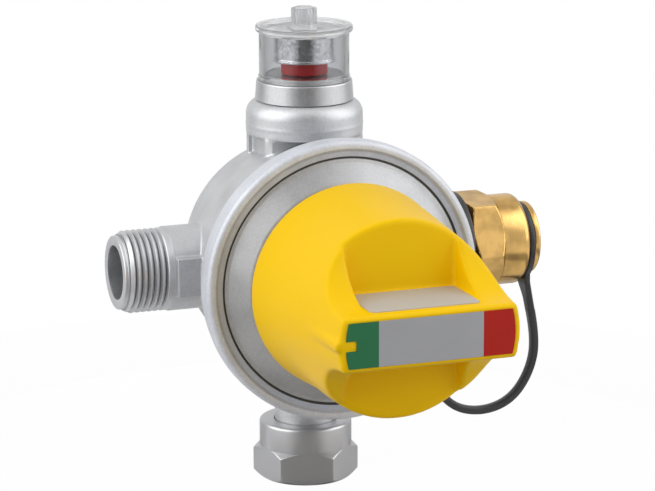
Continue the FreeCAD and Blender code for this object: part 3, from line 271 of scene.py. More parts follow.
route = [(0.0586, -0.004, 0.0286), (0.0603, -0.004, 0.0206), (0.0585, -0.004, 0.0122),
         (0.0536, -0.004, 0.0056), (0.0460, -0.004, 0.0033), (0.0381, -0.004, 0.0050),
         (0.0328, -0.004, 0.0112), (0.0319, -0.004, 0.0204), (0.0366, -0.004, 0.0280)]
route_curve = bpy.data.curves.new("strap_route", "CURVE")
route_curve.dimensions = "3D"
route_curve.resolution_u = 14
route_line = route_curve.splines.new("NURBS")
route_line.points.add(len(route) - 1)
for point, place in zip(route_line.points, route):
    point.co = (*place, 1)
route_line.order_u = 3
route_line.use_endpoint_u = True
route_object = bpy.data.objects.new("strap_route", route_curve)
strap_path = [tuple(v.co) for v in bpy.data.meshes.new_from_object(route_object).vertices]
bpy.data.objects.remove(route_object)
rubber = grained("black_rubber", (0.036, 0.036, 0.039), metallic=0.0, roughness=0.32, size=2600.0,
                 spread=0.4, depth=0.00001)
strap_mesh = closed(grid("strap", strap_section(strap_path)), sharp=50)
strap = piece("strap", strap_mesh, rubber, "black_rubber", None, "tether_strap")
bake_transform(strap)

# Studio
# White room, a soft light on either side above, the left one stronger, and a pale floor under the nut.
# Metal and clear plastic mirror the room's soft boxes and the dark gaps between them.
white = (1, 1, 1, 1)
room_grey = (0.56, 0.565, 0.575, 1)      # what the walls give to matt surfaces
room_front = (-0.34, -0.94, 0)
room_right = (0.94, -0.34, 0)
lamp_aim = (0, 0, 0.05)
# Degrees from the front towards the right, and the brightness there.
room_bands = ((-180, 0.8), (-145, 0.8), (-118, 0.40), (-98, 0.95), (-36, 0.85), (-16, 0.20), (24, 0.16),
              (46, 0.95), (104, 1.0), (122, 0.40), (148, 0.75), (180, 0.8))


def soft_light(name, place, size, power):
    """Square area light at a place, turned to the regulator."""
    data = bpy.data.lights.new(name, "AREA")
    data.size = size
    data.energy = power
    lamp = bpy.data.objects.new(name, data)
    scene.collection.objects.link(lamp)
    lamp.location = place
    lamp.rotation_euler = (Vector(lamp_aim) - Vector(place)).to_track_quat("-Z", "Y").to_euler()


def mixed(tree, share, first, second):
    """Colour between two: first * (1 - share) + second * share.

    A Mix node's inputs 6 and 7 and its output 2 are its colours.
    """
    return add(tree, "Mix", {"Factor": share, 6: first, 7: second}, data_type="RGBA").outputs[2]


def room_light(tree, ahead):
    """Brightness of the room in a direction, as metal and clear plastic show it.

    A ramp over the angle round Z, at 0.5 straight in front: soft boxes to the left and right, a dark gap
    between them and beyond each, and pale behind. Above, it turns to white.
    """
    side = vectors(tree, "DOT_PRODUCT", ahead, room_right)
    front = vectors(tree, "DOT_PRODUCT", ahead, room_front)
    share = maths(tree, "MULTIPLY_ADD", maths(tree, "ARCTAN2", side, front), 0.5 / math.pi, 0.5)
    ramp = add(tree, "ValToRGB", {0: share})
    band = ramp.color_ramp.elements
    for degrees, level in room_bands:
        stop = band[0] if degrees == -180 else band[-1] if degrees == 180 else band.new(degrees / 360 + 0.5)
        stop.position = degrees / 360 + 0.5
        stop.color = (level, level, level, 1)
    up = add(tree, "SeparateXYZ", {0: ahead}).outputs["Z"]
    return mixed(tree, ranged(tree, up, 0.7, 1.15, 0.0, 1.0), ramp.outputs[0], white)


soft_light("key", (-1.20, 0.00, 0.80), size=1.7, power=14.0)
soft_light("second", (1.15, -0.42, 0.80), size=1.6, power=10.0)
world = bpy.data.worlds.new("room")
scene.world = world
world.use_nodes = True
room_tree = world.node_tree
rays = add(room_tree, "LightPath").outputs
mirrored = maths(room_tree, "MAXIMUM", rays["Is Glossy Ray"], rays["Is Transmission Ray"])
bands = room_light(room_tree, add(room_tree, "TexCoord").outputs["Generated"])
lit = mixed(room_tree, mirrored, room_grey, bands)
feed(room_tree.nodes["Background"], {"Color": mixed(room_tree, rays["Is Camera Ray"], lit, white)})

# The floor is a disc at the nut's foot. Its own colour is painted light, the room's bright and dark bands,
# with a painted dark ring that the underside mirrors as shade, and the camera sees it nearly white, with a
# little of the shadow left near the middle.
floor_middle = (0.02, -0.02)
floor_r = 0.3
floor_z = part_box("union_nut")[0].z
floor_white_share = 0.975    # of the floor's middle, as the camera sees it
floor_white_start = 0.08
floor_white_end = 0.26
painted_band_share = 0.68
painted_band_lift = 0.24
painted_ring_r = 0.132
painted_ring_half = 0.028
painted_ring_loss = 0.65
floor_angle = once_round(64)
floor_reach = np.linspace(0, floor_r, 4)[:, None]
floor_x = floor_middle[0] + floor_reach * np.cos(floor_angle)
floor_y = floor_middle[1] + floor_reach * np.sin(floor_angle)
floor_rows = np.stack(np.broadcast_arrays(floor_x, floor_y, floor_z), axis=-1)
floor_paint, floor_tree, floor_shader = shader("floor")
floor_place = object_place(floor_tree)
floor_far = vectors(floor_tree, "LENGTH", floor_place)
# Painted shade: a dark ring in the floor's colour, for the underside to mirror.
floor_painted_ring = maths(floor_tree, "COMPARE", floor_far, painted_ring_r, painted_ring_half)
floor_painted_shade = maths(floor_tree, "MULTIPLY_ADD", floor_painted_ring, -painted_ring_loss, 1.0)
# Painted light: the room's bright and dark bands in the floor's own colour.
floor_painted_bands = vectors(floor_tree, "MULTIPLY_ADD", room_light(floor_tree, floor_place),
                      (painted_band_share,) * 3, (painted_band_lift,) * 3)
floor_colour = vectors(floor_tree, "SCALE", floor_painted_bands, Scale=floor_painted_shade)
feed(floor_shader, {"Base Color": floor_colour, "Roughness": 0.9})
floor_glow = add(floor_tree, "Emission", {"Color": white, "Strength": 1.0}).outputs[0]
floor_white = ranged(floor_tree, floor_far, floor_white_start, floor_white_end, floor_white_share, 1.0)
floor_rays = add(floor_tree, "LightPath").outputs
seen_share = maths(floor_tree, "MULTIPLY", floor_rays["Is Camera Ray"], floor_white)
floor_mix = add(floor_tree, "MixShader", {0: seen_share, 1: floor_shader.outputs[0], 2: floor_glow})
feed(floor_tree.nodes["Material Output"], {"Surface": floor_mix.outputs[0]})
floor_mesh = closed(grid("floor", floor_rows))
floor_mesh.materials.append(floor_paint)
floor = bpy.data.objects.new("floor", floor_mesh)
scene.collection.objects.link(floor)

# Cast body
# Housing, die-cast in one piece with its ports, tower and outlet neck, under silver paint. It is remeshed,
# so that every cast edge is soft, and it ends where the inlets' threaded ends begin.
body_end_x = 0.036
split_gap = 1e-6             # the solids' split points lie nearer than this


def copy_of(node):
    """A CAD node's mesh with its split points merged."""
    mesh = nodes[node].data.copy()
    work = bmesh.new()
    work.from_mesh(mesh)
    bmesh.ops.remove_doubles(work, verts=work.verts, dist=split_gap)
    work.to_mesh(mesh)
    work.free()
    return mesh


def cut_off(mesh, x):
    """Cuts away what lies beyond x and -x and closes both cuts."""
    work = bmesh.new()
    work.from_mesh(mesh)
    for side in (1, -1):
        whole = work.verts[:] + work.edges[:] + work.faces[:]
        cut = bmesh.ops.bisect_plane(work, geom=whole, plane_co=(side * x, 0, 0), plane_no=(side, 0, 0),
                                     clear_outer=True, dist=1e-7)
        edges = [e for e in cut["geom_cut"] if isinstance(e, bmesh.types.BMEdge)]
        bmesh.ops.triangle_fill(work, use_beauty=True, edges=edges)
    bmesh.ops.recalc_face_normals(work, faces=work.faces)
    work.to_mesh(mesh)
    work.free()
    return mesh


def softened(name, mesh, voxel, rounds, keep=1.0):
    """Remeshes a closed mesh in voxels of a size, smooths it some rounds and keeps a share of its faces."""
    work = bpy.data.objects.new(name, mesh)
    scene.collection.objects.link(work)
    remesh = work.modifiers.new("remesh", "REMESH")
    remesh.mode = "VOXEL"
    remesh.voxel_size = voxel
    remesh.use_smooth_shade = True
    smooth = work.modifiers.new("smooth", "SMOOTH")
    smooth.iterations = rounds
    smooth.factor = 0.5
    if keep < 1:
        work.modifiers.new("fewer", "DECIMATE").ratio = keep
    bpy.context.view_layer.update()
    made = bpy.data.meshes.new_from_object(work.evaluated_get(bpy.context.evaluated_depsgraph_get()))
    bpy.data.objects.remove(work)
    made.name = name
    return made


silver = grained("cast_silver", (0.62, 0.625, 0.64), metallic=0.7, roughness=0.44, size=1700.0, spread=0.36,
                 depth=0.00002)
cast = softened("cast_body", copy_of("valve_body"), voxel=0.00028, rounds=3, keep=0.24)
piece("cast_body", cut_off(cast, body_end_x), silver, "cast_silver", "housing", "valve_body")

# Inlet ports
# Ends of the casting with a rolled M20 x 1.5 thread, a lead-in and a smooth bore. The left port is the
# right one turned half way round the outlet's axis.
port_axes = np.array([0, 0, (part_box("front_cover")[0].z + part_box("front_cover")[1].z) / 2])


def row(points):
    """Millimetres about the crossing of the port axes to metres in the row frame: p / 1000 + port_axes."""
    return np.asarray(points, float) / 1000 + port_axes


def reach(node, axis):
    """Where a CAD node starts and ends along X, Y or Z, to a micrometre, in millimetres about port_axes."""
    low, high = (np.round(1000 * (np.array(corner) - port_axes), 3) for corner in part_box(node))
    return float(low["XYZ".index(axis)]), float(high["XYZ".index(axis)])


thread_pitch = 1.5
port_end = reach("valve_body", "X")[1]
port_start = 35.8            # just inside the cast body's end
port_barrel_r = 10.12
port_thread_r = 10.0
port_thread_depth = 0.95
port_root_r = port_thread_r - port_thread_depth
port_thread_start = 36.3
port_runout_start = 37.3
port_runout_length = 0.9
port_lead_in_end = port_end - 0.8
port_lead_in_r = 8.95
port_lead_in_slope = 0.62
port_face_r = 8.9
port_bore_r = 6.35
port_edge = 0.15             # bevel of the end face's outer edge


def blunt_thread(turns):
    """Height of a thread with flat crests and sharp roots: clip(1.25 * |2 * frac(turns) - 1|, 0, 1)."""
    return np.clip(1.25 * np.abs(2 * (turns % 1.0) - 1), 0, 1)


def about(axis, rows, angle):
    """Points of rows (place along, radius) round X, Y or Z, with one radius for a row or one per angle.

    X: (s, r cos a, r sin a), Y: (r sin a, s, r cos a), Z: (r cos a, r sin a, s).
    """
    r = np.array([np.broadcast_to(radius, angle.shape) for place, radius in rows])
    s = np.array([[place] for place, radius in rows])
    s, u, v = np.broadcast_arrays(s, r * np.cos(angle), r * np.sin(angle))
    return np.stack({"X": (s, u, v), "Y": (v, s, u), "Z": (u, v, s)}[axis], axis=-1)


def port_rows(around=160, along=300):
    """Outside from the body to the end, then the bore back in.

    In the thread r = crest - depth * (1 - height(x / pitch + a / 2 pi)), faded at the run-out and under the
    lead-in's cone. Angle a goes round the X axis.
    """
    angle = once_round(around)
    x = np.linspace(port_thread_start, port_lead_in_end - 0.1, along)[:, None]
    fade = np.clip((x - port_runout_start) / port_runout_length, 0, 1)
    height = blunt_thread(x / thread_pitch + angle / (2 * math.pi))
    thread = port_thread_r - port_thread_depth * (1 - height) * fade
    cone = port_lead_in_r + (port_lead_in_end - x) * port_lead_in_slope
    rows = [(port_start, port_barrel_r), (port_thread_start - 0.05, port_barrel_r)]
    rows += list(zip(x[:, 0], np.minimum(thread, cone)))
    rows += [(port_lead_in_end, port_face_r), (port_end - port_edge, port_face_r),
             (port_end, port_face_r - port_edge), (port_end, port_bore_r + 0.4),
             (port_end - 0.1, port_bore_r + 0.2), (port_end - 0.6, port_bore_r + 0.1), (40.0, port_bore_r),
             (port_start, port_bore_r + 0.01)]
    return about("X", rows, angle)


def paint_shade_band(material, axis, low, high, share):
    """Painted shade: a material's colour times a share, between two radii in mm round an axis through
    port_axes.
    """
    tree = material.node_tree
    colour = tree.nodes["Principled BSDF"].inputs["Base Color"]
    place = vectors(tree, "SUBTRACT", object_place(tree), tuple(port_axes))
    away = vectors(tree, "LENGTH", vectors(tree, "CROSS_PRODUCT", place, axis))
    middle, half = (low + high) / 2000, (high - low) / 2000      # in metres
    inside = maths(tree, "COMPARE", away, middle, half)
    tint = mixed(tree, inside, white, (*share, 1))
    tree.links.new(vectors(tree, "MULTIPLY", colour.links[0].from_socket, tint), colour)


port_silver = grained("port_silver", (0.64, 0.645, 0.66), metallic=0.8, roughness=0.38, size=2600.0,
                      spread=0.2, depth=0.00001)
# Painted shade inside the bore.
paint_shade_band(port_silver, (1, 0, 0), 0.0, port_bore_r + 0.27, (0.64, 0.65, 0.65))
# Painted shade in the thread's roots.
paint_shade_band(port_silver, (1, 0, 0), port_root_r - 0.07, port_root_r + 0.19, (0.55, 0.55, 0.56))
for side, name in ((-1, "left_port"), (1, "right_port")):
    mesh = closed(grid(name, row(port_rows() * [side, side, 1]), tube=True), sharp=40)
    piece(name, mesh, port_silver, "cast_silver", "housing", "valve_body")

# Clamp ring
# Steel, rolled round the body's flange and the cover's edge to hold both: a flat lip, a narrow groove, a
# round bead and a turned-in back.
ring_r = reach("clamp_ring", "X")[1]
ring_front_y, ring_back_y = reach("clamp_ring", "Y")
ring_middle_y = -24.0
lip_inner_r = 30.2
lip_outer_r = 31.5
lip_front_y = -27.55
lip_back_y = -27.02          # just in front of the cover's edge
bead_inner_r = 32.2
flange_r = 32.42             # just outside the body's flange
flange_back_y = -20.68
hem_r = 31.3


def rounded(corners, steps=7):
    """Outline through corners (r, s, radius), each radius drawn as an arc tangent to both its runs.

    The arc starts radius / tan(half the corner's angle) before the corner. It stays open at both ends.
    """
    line = []
    for i, corner in enumerate(corners):
        here = np.array(corner[:2], float)
        radius = corner[2] if len(corner) > 2 else 0
        if not radius or i in (0, len(corners) - 1):
            line.append(here)
            continue
        back = np.array(corners[i - 1][:2]) - here
        ahead = np.array(corners[i + 1][:2]) - here
        back /= np.linalg.norm(back)
        ahead /= np.linalg.norm(ahead)
        half = math.acos(np.clip(back @ ahead, -1, 1)) / 2
        middle = (back + ahead) / np.linalg.norm(back + ahead)
        centre = here + middle * radius / math.sin(half)
        start = here + back * radius / math.tan(half) - centre
        finish = here + ahead * radius / math.tan(half) - centre
        sweep = math.pi - 2 * half
        for t in np.linspace(0, 1, steps):
            turned_to = start * math.sin((1 - t) * sweep) + finish * math.sin(t * sweep)
            line.append(centre + turned_to / math.sin(sweep))
    return [(s, r) for r, s in line]


def turned(name, axis, corners, around=192):
    """Closed mesh of an outline turned about an axis, X, Y or Z, through the port axes' crossing."""
    return closed(grid(name, row(about(axis, rounded(corners + [corners[0]]), once_round(around)))))


ring_silver = grained("ring_silver", (0.68, 0.70, 0.745), metallic=0.3, roughness=0.48, size=1700.0,
                      spread=0.40, depth=0.00001)
# Painted shade in the gap between the ring's lip and the cover.
paint_shade_band(ring_silver, (0, 1, 0), lip_inner_r - 0.2, lip_inner_r + 0.1, (0.2, 0.2, 0.2))
# Painted shade over the flat lip, tinted blue to cancel the knob's yellow reflection.
paint_shade_band(ring_silver, (0, 1, 0), lip_inner_r + 0.1, bead_inner_r, (0.74, 0.785, 0.89))
clamp_band = turned("clamp_band", "Y", [
    (lip_inner_r, lip_back_y), (lip_inner_r, lip_front_y, 0.22), (lip_outer_r, lip_front_y, 0.5),
    (bead_inner_r, ring_front_y, 0.6), (ring_r, ring_front_y, 1.4), (ring_r, ring_middle_y, 3.0),
    (ring_r - 0.9, ring_back_y, 0.8), (hem_r, ring_back_y, 0.4), (hem_r, flange_back_y),
    (flange_r, flange_back_y), (flange_r, lip_back_y)], around=256)
piece("clamp_band", clamp_band, ring_silver, "ring_silver", "housing", "clamp_ring")

# Front cover
# Turned metal disc with the spring's bonnet in its middle, held by the clamp ring. It keeps its solid, its
# lathe marks stretch the highlights round its axis, and painted shade darkens it in the gap under the
# ring's lip.
cover_gap_r = 29.74
cover_r = reach("front_cover", "X")[1]


def dress(material, *names):
    """Gives CAD nodes a material."""
    for name in names:
        nodes[name].data.materials.clear()
        nodes[name].data.materials.append(material)


cover_grey = grained("cover_grey", (0.54, 0.55, 0.57), metallic=0.5, roughness=0.42, size=1700.0,
                     spread=0.42, depth=0.00001)
round_y = add(cover_grey.node_tree, "Tangent", direction_type="RADIAL", axis="Y").outputs[0]
feed(cover_grey.node_tree.nodes["Principled BSDF"],
     {"Anisotropic": 0.8, "Anisotropic Rotation": 0.25, "Tangent": round_y})
# Painted shade from the gap under the ring's lip outward.
paint_shade_band(cover_grey, (0, 1, 0), cover_gap_r, cover_r + 0.6, (0.16, 0.16, 0.16))
dress(cover_grey, "front_cover")

# Union nut
# Satin steel, turned from hexagon bar, loose on the outlet's spigot: a round shoulder above a hexagon whose
# chamfers cut its corners in arcs, with a thread inside.
hexagon_half = 11.25         # 22.5 across flats, here and on the blanking cap
hexagon_face_r = 10.95
shoulder_cone = 0.75         # length per radius of the cones that cut the hexagon's corners
face_cone = 0.577
shoulder_step = 0.04         # from the round shoulder down to the first cone
nut_mouth_z, nut_top_z = reach("union_nut", "Z")
nut_mouth_r = 10.3
nut_lead_in_r = 9.3          # 1 mm inside the mouth
nut_turn = math.radians(12)
nut_shoulder_r = 11.4
nut_hexagon_z = -47.5
nut_neck_r = 7.75            # round the spigot
nut_shoulder_inside_z = -42.8
nut_thread_r = 9.25
nut_thread_depth = 0.85
nut_thread_z = -54.3
nut_thread_top_z = -46.8
nut_runout_length = 0.4
nut_relief_r = 10.1


def softer(a, b, width):
    """Smooth minimum that softens an edge: min(a, b) - 0.35 * width * log(1 + exp(-|a - b| / width))."""
    return np.minimum(a, b) - width * np.log1p(np.exp(-np.abs(a - b) / width)) * 0.35


def hexagon(angle, half, corner=0.2):
    """Radius of a hexagon with soft corners: the smooth minimum of its flats, half / cos(a - 60 k deg)."""
    turn = (angle + math.pi / 6) % (math.pi / 3) - math.pi / 6
    return softer(half / np.cos(turn), half / np.cos(math.pi / 3 - np.abs(turn)), corner)


def hexagon_rows(flats, start, end, shoulder_r, steps=64):
    """Rows of a hexagon from its shoulder to its open face, with its corners cut by a cone at each end.

    r = softer(flats, min(shoulder's radius - step + d / shoulder's cone, face's radius + e / face's cone)),
    with d and e the distances to the shoulder and to the face.
    """
    rows = []
    for place in np.linspace(start, end, steps):
        cone = min(shoulder_r - shoulder_step + abs(place - start) / shoulder_cone,
                   hexagon_face_r + abs(place - end) / face_cone)
        rows.append((place, softer(flats, cone, 0.06)))
    return rows


def nut_rows(around=240):
    """Rows down the outside and up the inside, where r = minor + depth * height(z / pitch - a / 2 pi)."""
    angle = once_round(around)
    rows = rounded([(nut_neck_r, nut_shoulder_inside_z), (nut_neck_r, nut_top_z, 0.25),
                    (nut_shoulder_r, nut_top_z, 0.9), (nut_shoulder_r, nut_hexagon_z + 0.08)])
    flats = hexagon(angle - nut_turn, hexagon_half)
    rows += hexagon_rows(flats, nut_hexagon_z, nut_mouth_z, nut_shoulder_r)
    rows += [(nut_mouth_z, nut_mouth_r), (nut_mouth_z + 1.0, nut_lead_in_r)]
    z = np.linspace(nut_thread_z, nut_thread_top_z, 110)[:, None]
    fade = np.clip((z - nut_thread_z) / nut_runout_length, 0, 1)
    height = blunt_thread(z / thread_pitch - angle / (2 * math.pi))
    rows += list(zip(z[:, 0], nut_thread_r + nut_thread_depth * height * fade))
    rows += [(nut_thread_top_z + 0.2, nut_relief_r), (nut_shoulder_inside_z, nut_relief_r)]
    return about("Z", rows, angle)


def lathe_group():
    """Fine lines round an axis, as a lathe leaves them.

    The lines are a 1-D noise of (s + r) * Count, where s runs along Axis through Centre and r is the
    distance from it. Shade = 1 + Spread * (lines - 0.5), and Normal bumps by the same lines.
    """
    tree, given, out = group(
        "lathe",
        [("Axis", "Vector", (0, 0, 1)), ("Centre", "Vector", tuple(port_axes)), ("Count", "Float", 6000.0),
         ("Spread", "Float", 0.2), ("Depth", "Float", 0.00001)],
        [("Shade", "Float"), ("Normal", "Vector")])
    place = vectors(tree, "SUBTRACT", object_place(tree), given["Centre"])
    along = vectors(tree, "DOT_PRODUCT", place, given["Axis"])
    away = vectors(tree, "LENGTH", vectors(tree, "CROSS_PRODUCT", place, given["Axis"]))
    count = maths(tree, "MULTIPLY", maths(tree, "ADD", along, away), given["Count"])
    line_inputs = {"W": count, "Scale": 1.0, "Detail": 2.0}
    lines = add(tree, "TexNoise", line_inputs, noise_dimensions="1D").outputs[0]
    shade = maths(tree, "MULTIPLY_ADD", maths(tree, "SUBTRACT", lines, 0.5), given["Spread"], 1.0)
    bump = add(tree, "Bump", {"Height": lines, "Distance": given["Depth"], "Strength": 1.0}).outputs[0]
    feed(out, {"Shade": shade, "Normal": bump})
    return tree


def lathed(name, colour, roughness, axis, spread=0.25, depth=0.00001, count=6000.0, stain=0.0):
    """Bare metal with lathe lines in its colour and bump, and stains: colour * (1 - stain * slow noise)."""
    made, tree, principled = shader(name)
    lathe = placed_group(tree, "lathe", lathe_group,
                         {"Axis": axis, "Spread": spread, "Depth": depth, "Count": count})
    slow = noise(tree, object_place(tree), 170.0, detail=3.0)
    level = maths(tree, "MULTIPLY", lathe["Shade"], ranged(tree, slow, 0.42, 0.62, 1.0, 1.0 - stain))
    feed(principled, {"Base Color": vectors(tree, "SCALE", colour, Scale=level), "Normal": lathe["Normal"],
                      "Metallic": 1.0, "Roughness": roughness})
    return made


nut_satin = lathed("nut_satin", (0.56, 0.56, 0.57), roughness=0.36, axis=(0, 0, 1), spread=0.15,
                   depth=0.000006)
nut = closed(grid("nut", row(nut_rows()), tube=True), sharp=30)
piece("nut", nut, nut_satin, "nut_satin", "outlet_nut", "union_nut")

# Selector knob
# Moulded yellow plastic with a satin skin, screwed to its spindle. The label in the bar's front has three
# plain fields, and the sticker in the upper recess is bare.
knob_rim_y = reach("selector_knob", "Y")[1]
knob_rim_r = reach("selector_knob", "X")[1]
knob_taper = 0.068           # radius lost per millimetre towards the front
lip_swell = 0.042            # share that the lip below the bar gains in radius
label_grey_half = 0.0125     # half length of the grey field, in metres
label_green = (0.028, 0.185, 0.076, 1)
label_grey = (0.43, 0.43, 0.445, 1)
label_red = (0.50, 0.014, 0.006, 1)


def reshaped(mesh, stretch):
    """Moves points to or from the Y axis: r = r * stretch(x, y, z), in millimetres about port_axes."""
    point = np.empty(len(mesh.vertices) * 3)
    mesh.vertices.foreach_get("co", point)
    point = (point.reshape(-1, 3) - port_axes) * 1000
    point[:, [0, 2]] *= stretch(*point.T)[:, None]
    mesh.vertices.foreach_set("co", row(point).ravel())
    return mesh


def true_rim(x, y, z):
    """Brings what remeshing wore off the open rim back to the skirt's cone.

    Within 0.8 mm of the cone, r * stretch = r + w * (cone(y) - r), where w is 1 at the rim and falls to 0
    between 2 and 4 mm in front of it.
    """
    r = np.hypot(x, z)
    cone = knob_rim_r + knob_taper * (y - knob_rim_y)
    near = (np.abs(r - cone) < 0.8) & (r > 20)
    w = np.where(near, np.clip((y - knob_rim_y + 4) / 2, 0, 1), 0)
    return 1 + w * (cone / np.maximum(r, 1) - 1)


def full_lip(x, y, z):
    """Swells the lip below the bar towards the knob's front.

    stretch = 1 + swell * s(-z, 8 to 16 mm) * s(-y, 45 to 64 mm), where s rises from 0 to 1 over its range
    as t^2 * (3 - 2 t).
    """
    low = np.clip((-z - 8) / 8, 0, 1)
    front = np.clip((-y - 45) / 19, 0, 1)
    return 1 + lip_swell * low ** 2 * (3 - 2 * low) * front ** 2 * (3 - 2 * front)


def label_material():
    """Three fields along the label: green up to minus the half length on X, grey, then red from plus it."""
    made, tree, principled = shader("label_field")
    x = add(tree, "SeparateXYZ", {0: object_place(tree)}).outputs["X"]
    field = mixed(tree, maths(tree, "GREATER_THAN", x, label_grey_half), label_grey, label_red)
    field = mixed(tree, maths(tree, "LESS_THAN", x, -label_grey_half), field, label_green)
    grain = placed_group(tree, "grain", grain_group,
                         {"Base": field, "Size": 4000.0, "Spread": 0.12, "Depth": 0.00001})
    feed(principled, {"Base Color": grain["Colour"], "Normal": grain["Normal"], "Roughness": 0.45,
                      "Specular IOR Level": 0.25})
    return made


knob_yellow = grained("knob_yellow", (0.97, 0.595, 0.0), metallic=0.0, roughness=0.38, size=1400.0,
                      spread=0.03, depth=0.000004)
feed(knob_yellow.node_tree.nodes["Principled BSDF"], {"Specular IOR Level": 0.15})
knob = softened("knob", copy_of("selector_knob"), voxel=0.0005, rounds=9)
knob = reshaped(reshaped(knob, true_rim), full_lip)
piece("knob", knob, knob_yellow, "knob_yellow", "selector", "selector_knob")
dress(label_material(), "front_label")
dress(grained("label_blank", (0.50, 0.485, 0.46), metallic=0.0, roughness=0.5, size=3000.0, spread=0.05,
              depth=0.00001), "grip_label")
dress(lathed("zinc_steel", (0.62, 0.62, 0.63), roughness=0.3, axis=(0, 1, 0), count=4000.0), "knob_screw",
      "spindle_clip", "stem_nut", "nut_retaining_ring", "lever_pin_left", "lever_pin_right")

# Indicator
# Silver step screwed into the collar, a clear moulded cap with its hollow nub, a galvanised cup, and the
# red sleeve that gas pressure lifts into it.
dome_r = 10.93
dome_inner_r = 9.63
dome_foot_r = 11.15
dome_foot_z = 44.25
dome_wall_z = 45.6           # the foot ends and the smoky wall begins
lid_r = reach("indicator_cap", "X")[1]
lid_under_z = 55.5
lid_flange_z = 55.9
lid_plate_z = 56.5
lid_plate_r = 9.7            # sunk between the nub and the raised flange
lid_top_z = 57.4
nub_top_z = reach("indicator_cap", "Z")[1]
nub_half = 2.75
nub_turn = math.radians(10)
nub_hole_r = 1.95
nub_hole_z = 57.5
nub_foot_r = 4.2
nub_foot_z = 58.0
nub_foot_height = 1.5
cup_r = 7.4
cup_lip_r = 7.75
cup_inner_r = 6.7
cup_top_z = 55.45
cup_wall = 0.65
cup_lip_z = 48.8


def mottled():
    """Galvanised metal: each Voronoi cell has its own brightness and a slightly different roughness."""
    made, tree, principled = shader("galvanised")
    place = object_place(tree)
    bent = add(tree, "TexNoise", {"Vector": place, "Scale": 700.0, "Detail": 2.0}).outputs["Color"]
    wavy = vectors(tree, "MULTIPLY_ADD", bent, (0.0011, 0.0011, 0.0011), place)
    cells = add(tree, "TexVoronoi", {"Vector": wavy, "Scale": 1300.0}).outputs["Color"]
    level = add(tree, "SeparateXYZ", {0: cells}).outputs
    tint = vectors(tree, "SCALE", (0.97, 0.98, 1.0), Scale=ranged(tree, level["X"], 0.0, 1.0, 0.68, 1.0))
    rough = ranged(tree, level["Y"], 0.0, 1.0, 0.10, 0.28)
    feed(principled, {"Base Color": tint, "Roughness": rough, "Metallic": 1.0})
    return made


def clear_plastic(name, base, through, roughness, smoke):
    """Moulded plastic, faintly wavy: see-through by a share, with a smoke that deepens with thickness."""
    made, tree, principled = shader(name)
    waves = noise(tree, object_place(tree), 160.0, detail=1.0)
    bump = add(tree, "Bump", {"Height": waves, "Distance": 0.00012, "Strength": 1.0}).outputs[0]
    rough = ranged(tree, waves, 0.0, 1.0, roughness - 0.03, roughness + 0.04)
    feed(principled, {"Base Color": (*base, 1), "Transmission Weight": through, "IOR": 1.49, "Normal": bump,
                      "Roughness": rough})
    if smoke:
        inside = add(tree, "VolumeAbsorption", {"Color": (0.50, 0.505, 0.52, 1), "Density": smoke})
        feed(tree.nodes["Material Output"], {"Volume": inside.outputs[0]})
    return made


def lid_rows(around=144):
    """Rows from the floor of the nub's hole up and over its hexagon, down its foot and out over the flange.

    On the foot r = hexagon + t^3 * (circle - hexagon), as t goes from 0 at its top to 1 at the plate.
    """
    angle = once_round(around)
    flats = hexagon(angle - nub_turn, nub_half, 0.3)
    rows = [(nub_hole_z, 0), (nub_hole_z, nub_hole_r), (nub_top_z - 0.1, nub_hole_r),
            (nub_top_z, nub_hole_r + 0.1), (nub_top_z, flats - 0.25), (nub_top_z - 0.08, flats - 0.08),
            (nub_top_z - 0.3, flats)]
    for t in np.linspace(0, 1, 12):
        rows.append((nub_foot_z - nub_foot_height * t, flats + t ** 3 * (nub_foot_r - flats)))
    rows += rounded([(nub_foot_r + 0.1, lid_plate_z), (lid_plate_r, lid_plate_z, 0.3),
                     (lid_plate_r, lid_top_z, 0.35), (lid_r, lid_top_z, 0.4), (lid_r, lid_flange_z, 0.5),
                     (dome_r, lid_flange_z, 0.1), (dome_r, lid_under_z), (dome_inner_r, lid_under_z)])
    return about("Z", rows + [(lid_under_z, 0)], angle)


dress(grained("step_silver", (0.57, 0.575, 0.59), metallic=0.9, roughness=0.34, size=1700.0, spread=0.3,
              depth=0.00002), "indicator_base")
clear = clear_plastic("clear_dome", (0.97, 0.975, 0.985), through=1.0, roughness=0.05, smoke=380.0)
milky = clear_plastic("milky_lid", (0.91, 0.915, 0.925), through=0.85, roughness=0.07, smoke=0)
wall = turned("dome_wall", "Z", [
    (dome_inner_r, dome_wall_z), (dome_r, dome_wall_z), (dome_r, lid_under_z - 0.05),
    (dome_inner_r, lid_under_z - 0.05)], around=144)
piece("dome_wall", wall, clear, "clear_dome", "housing", "indicator_cap")
foot = turned("dome_foot", "Z", [
    (dome_inner_r, dome_foot_z), (dome_foot_r, dome_foot_z, 0.2), (dome_foot_r, dome_wall_z - 0.5, 0.4),
    (dome_r, dome_wall_z - 0.05, 0.1), (dome_inner_r, dome_wall_z - 0.05)], around=144)
piece("dome_foot", foot, milky, "clear_dome", "housing", "indicator_cap")
lid = closed(grid("dome_lid", row(lid_rows())), sharp=30)
piece("dome_lid", lid, milky, "clear_dome", "housing", "indicator_cap")
cup = turned("cup", "Z", [
    (0, cup_top_z), (cup_r, cup_top_z), (cup_r, cup_lip_z + 0.7, 0.3), (cup_lip_r, cup_lip_z + 0.6, 0.2),
    (cup_lip_r, cup_lip_z, 0.25), (cup_inner_r, cup_lip_z), (cup_inner_r, cup_top_z - cup_wall),
    (0, cup_top_z - cup_wall)])
piece("cup", cup, mottled(), "galvanised", "housing", "indicator_cup")
dress(grained("signal_red", (0.86, 0.018, 0.020), metallic=0.0, roughness=0.4, size=1200.0, spread=0.1),
      "indicator_sleeve")

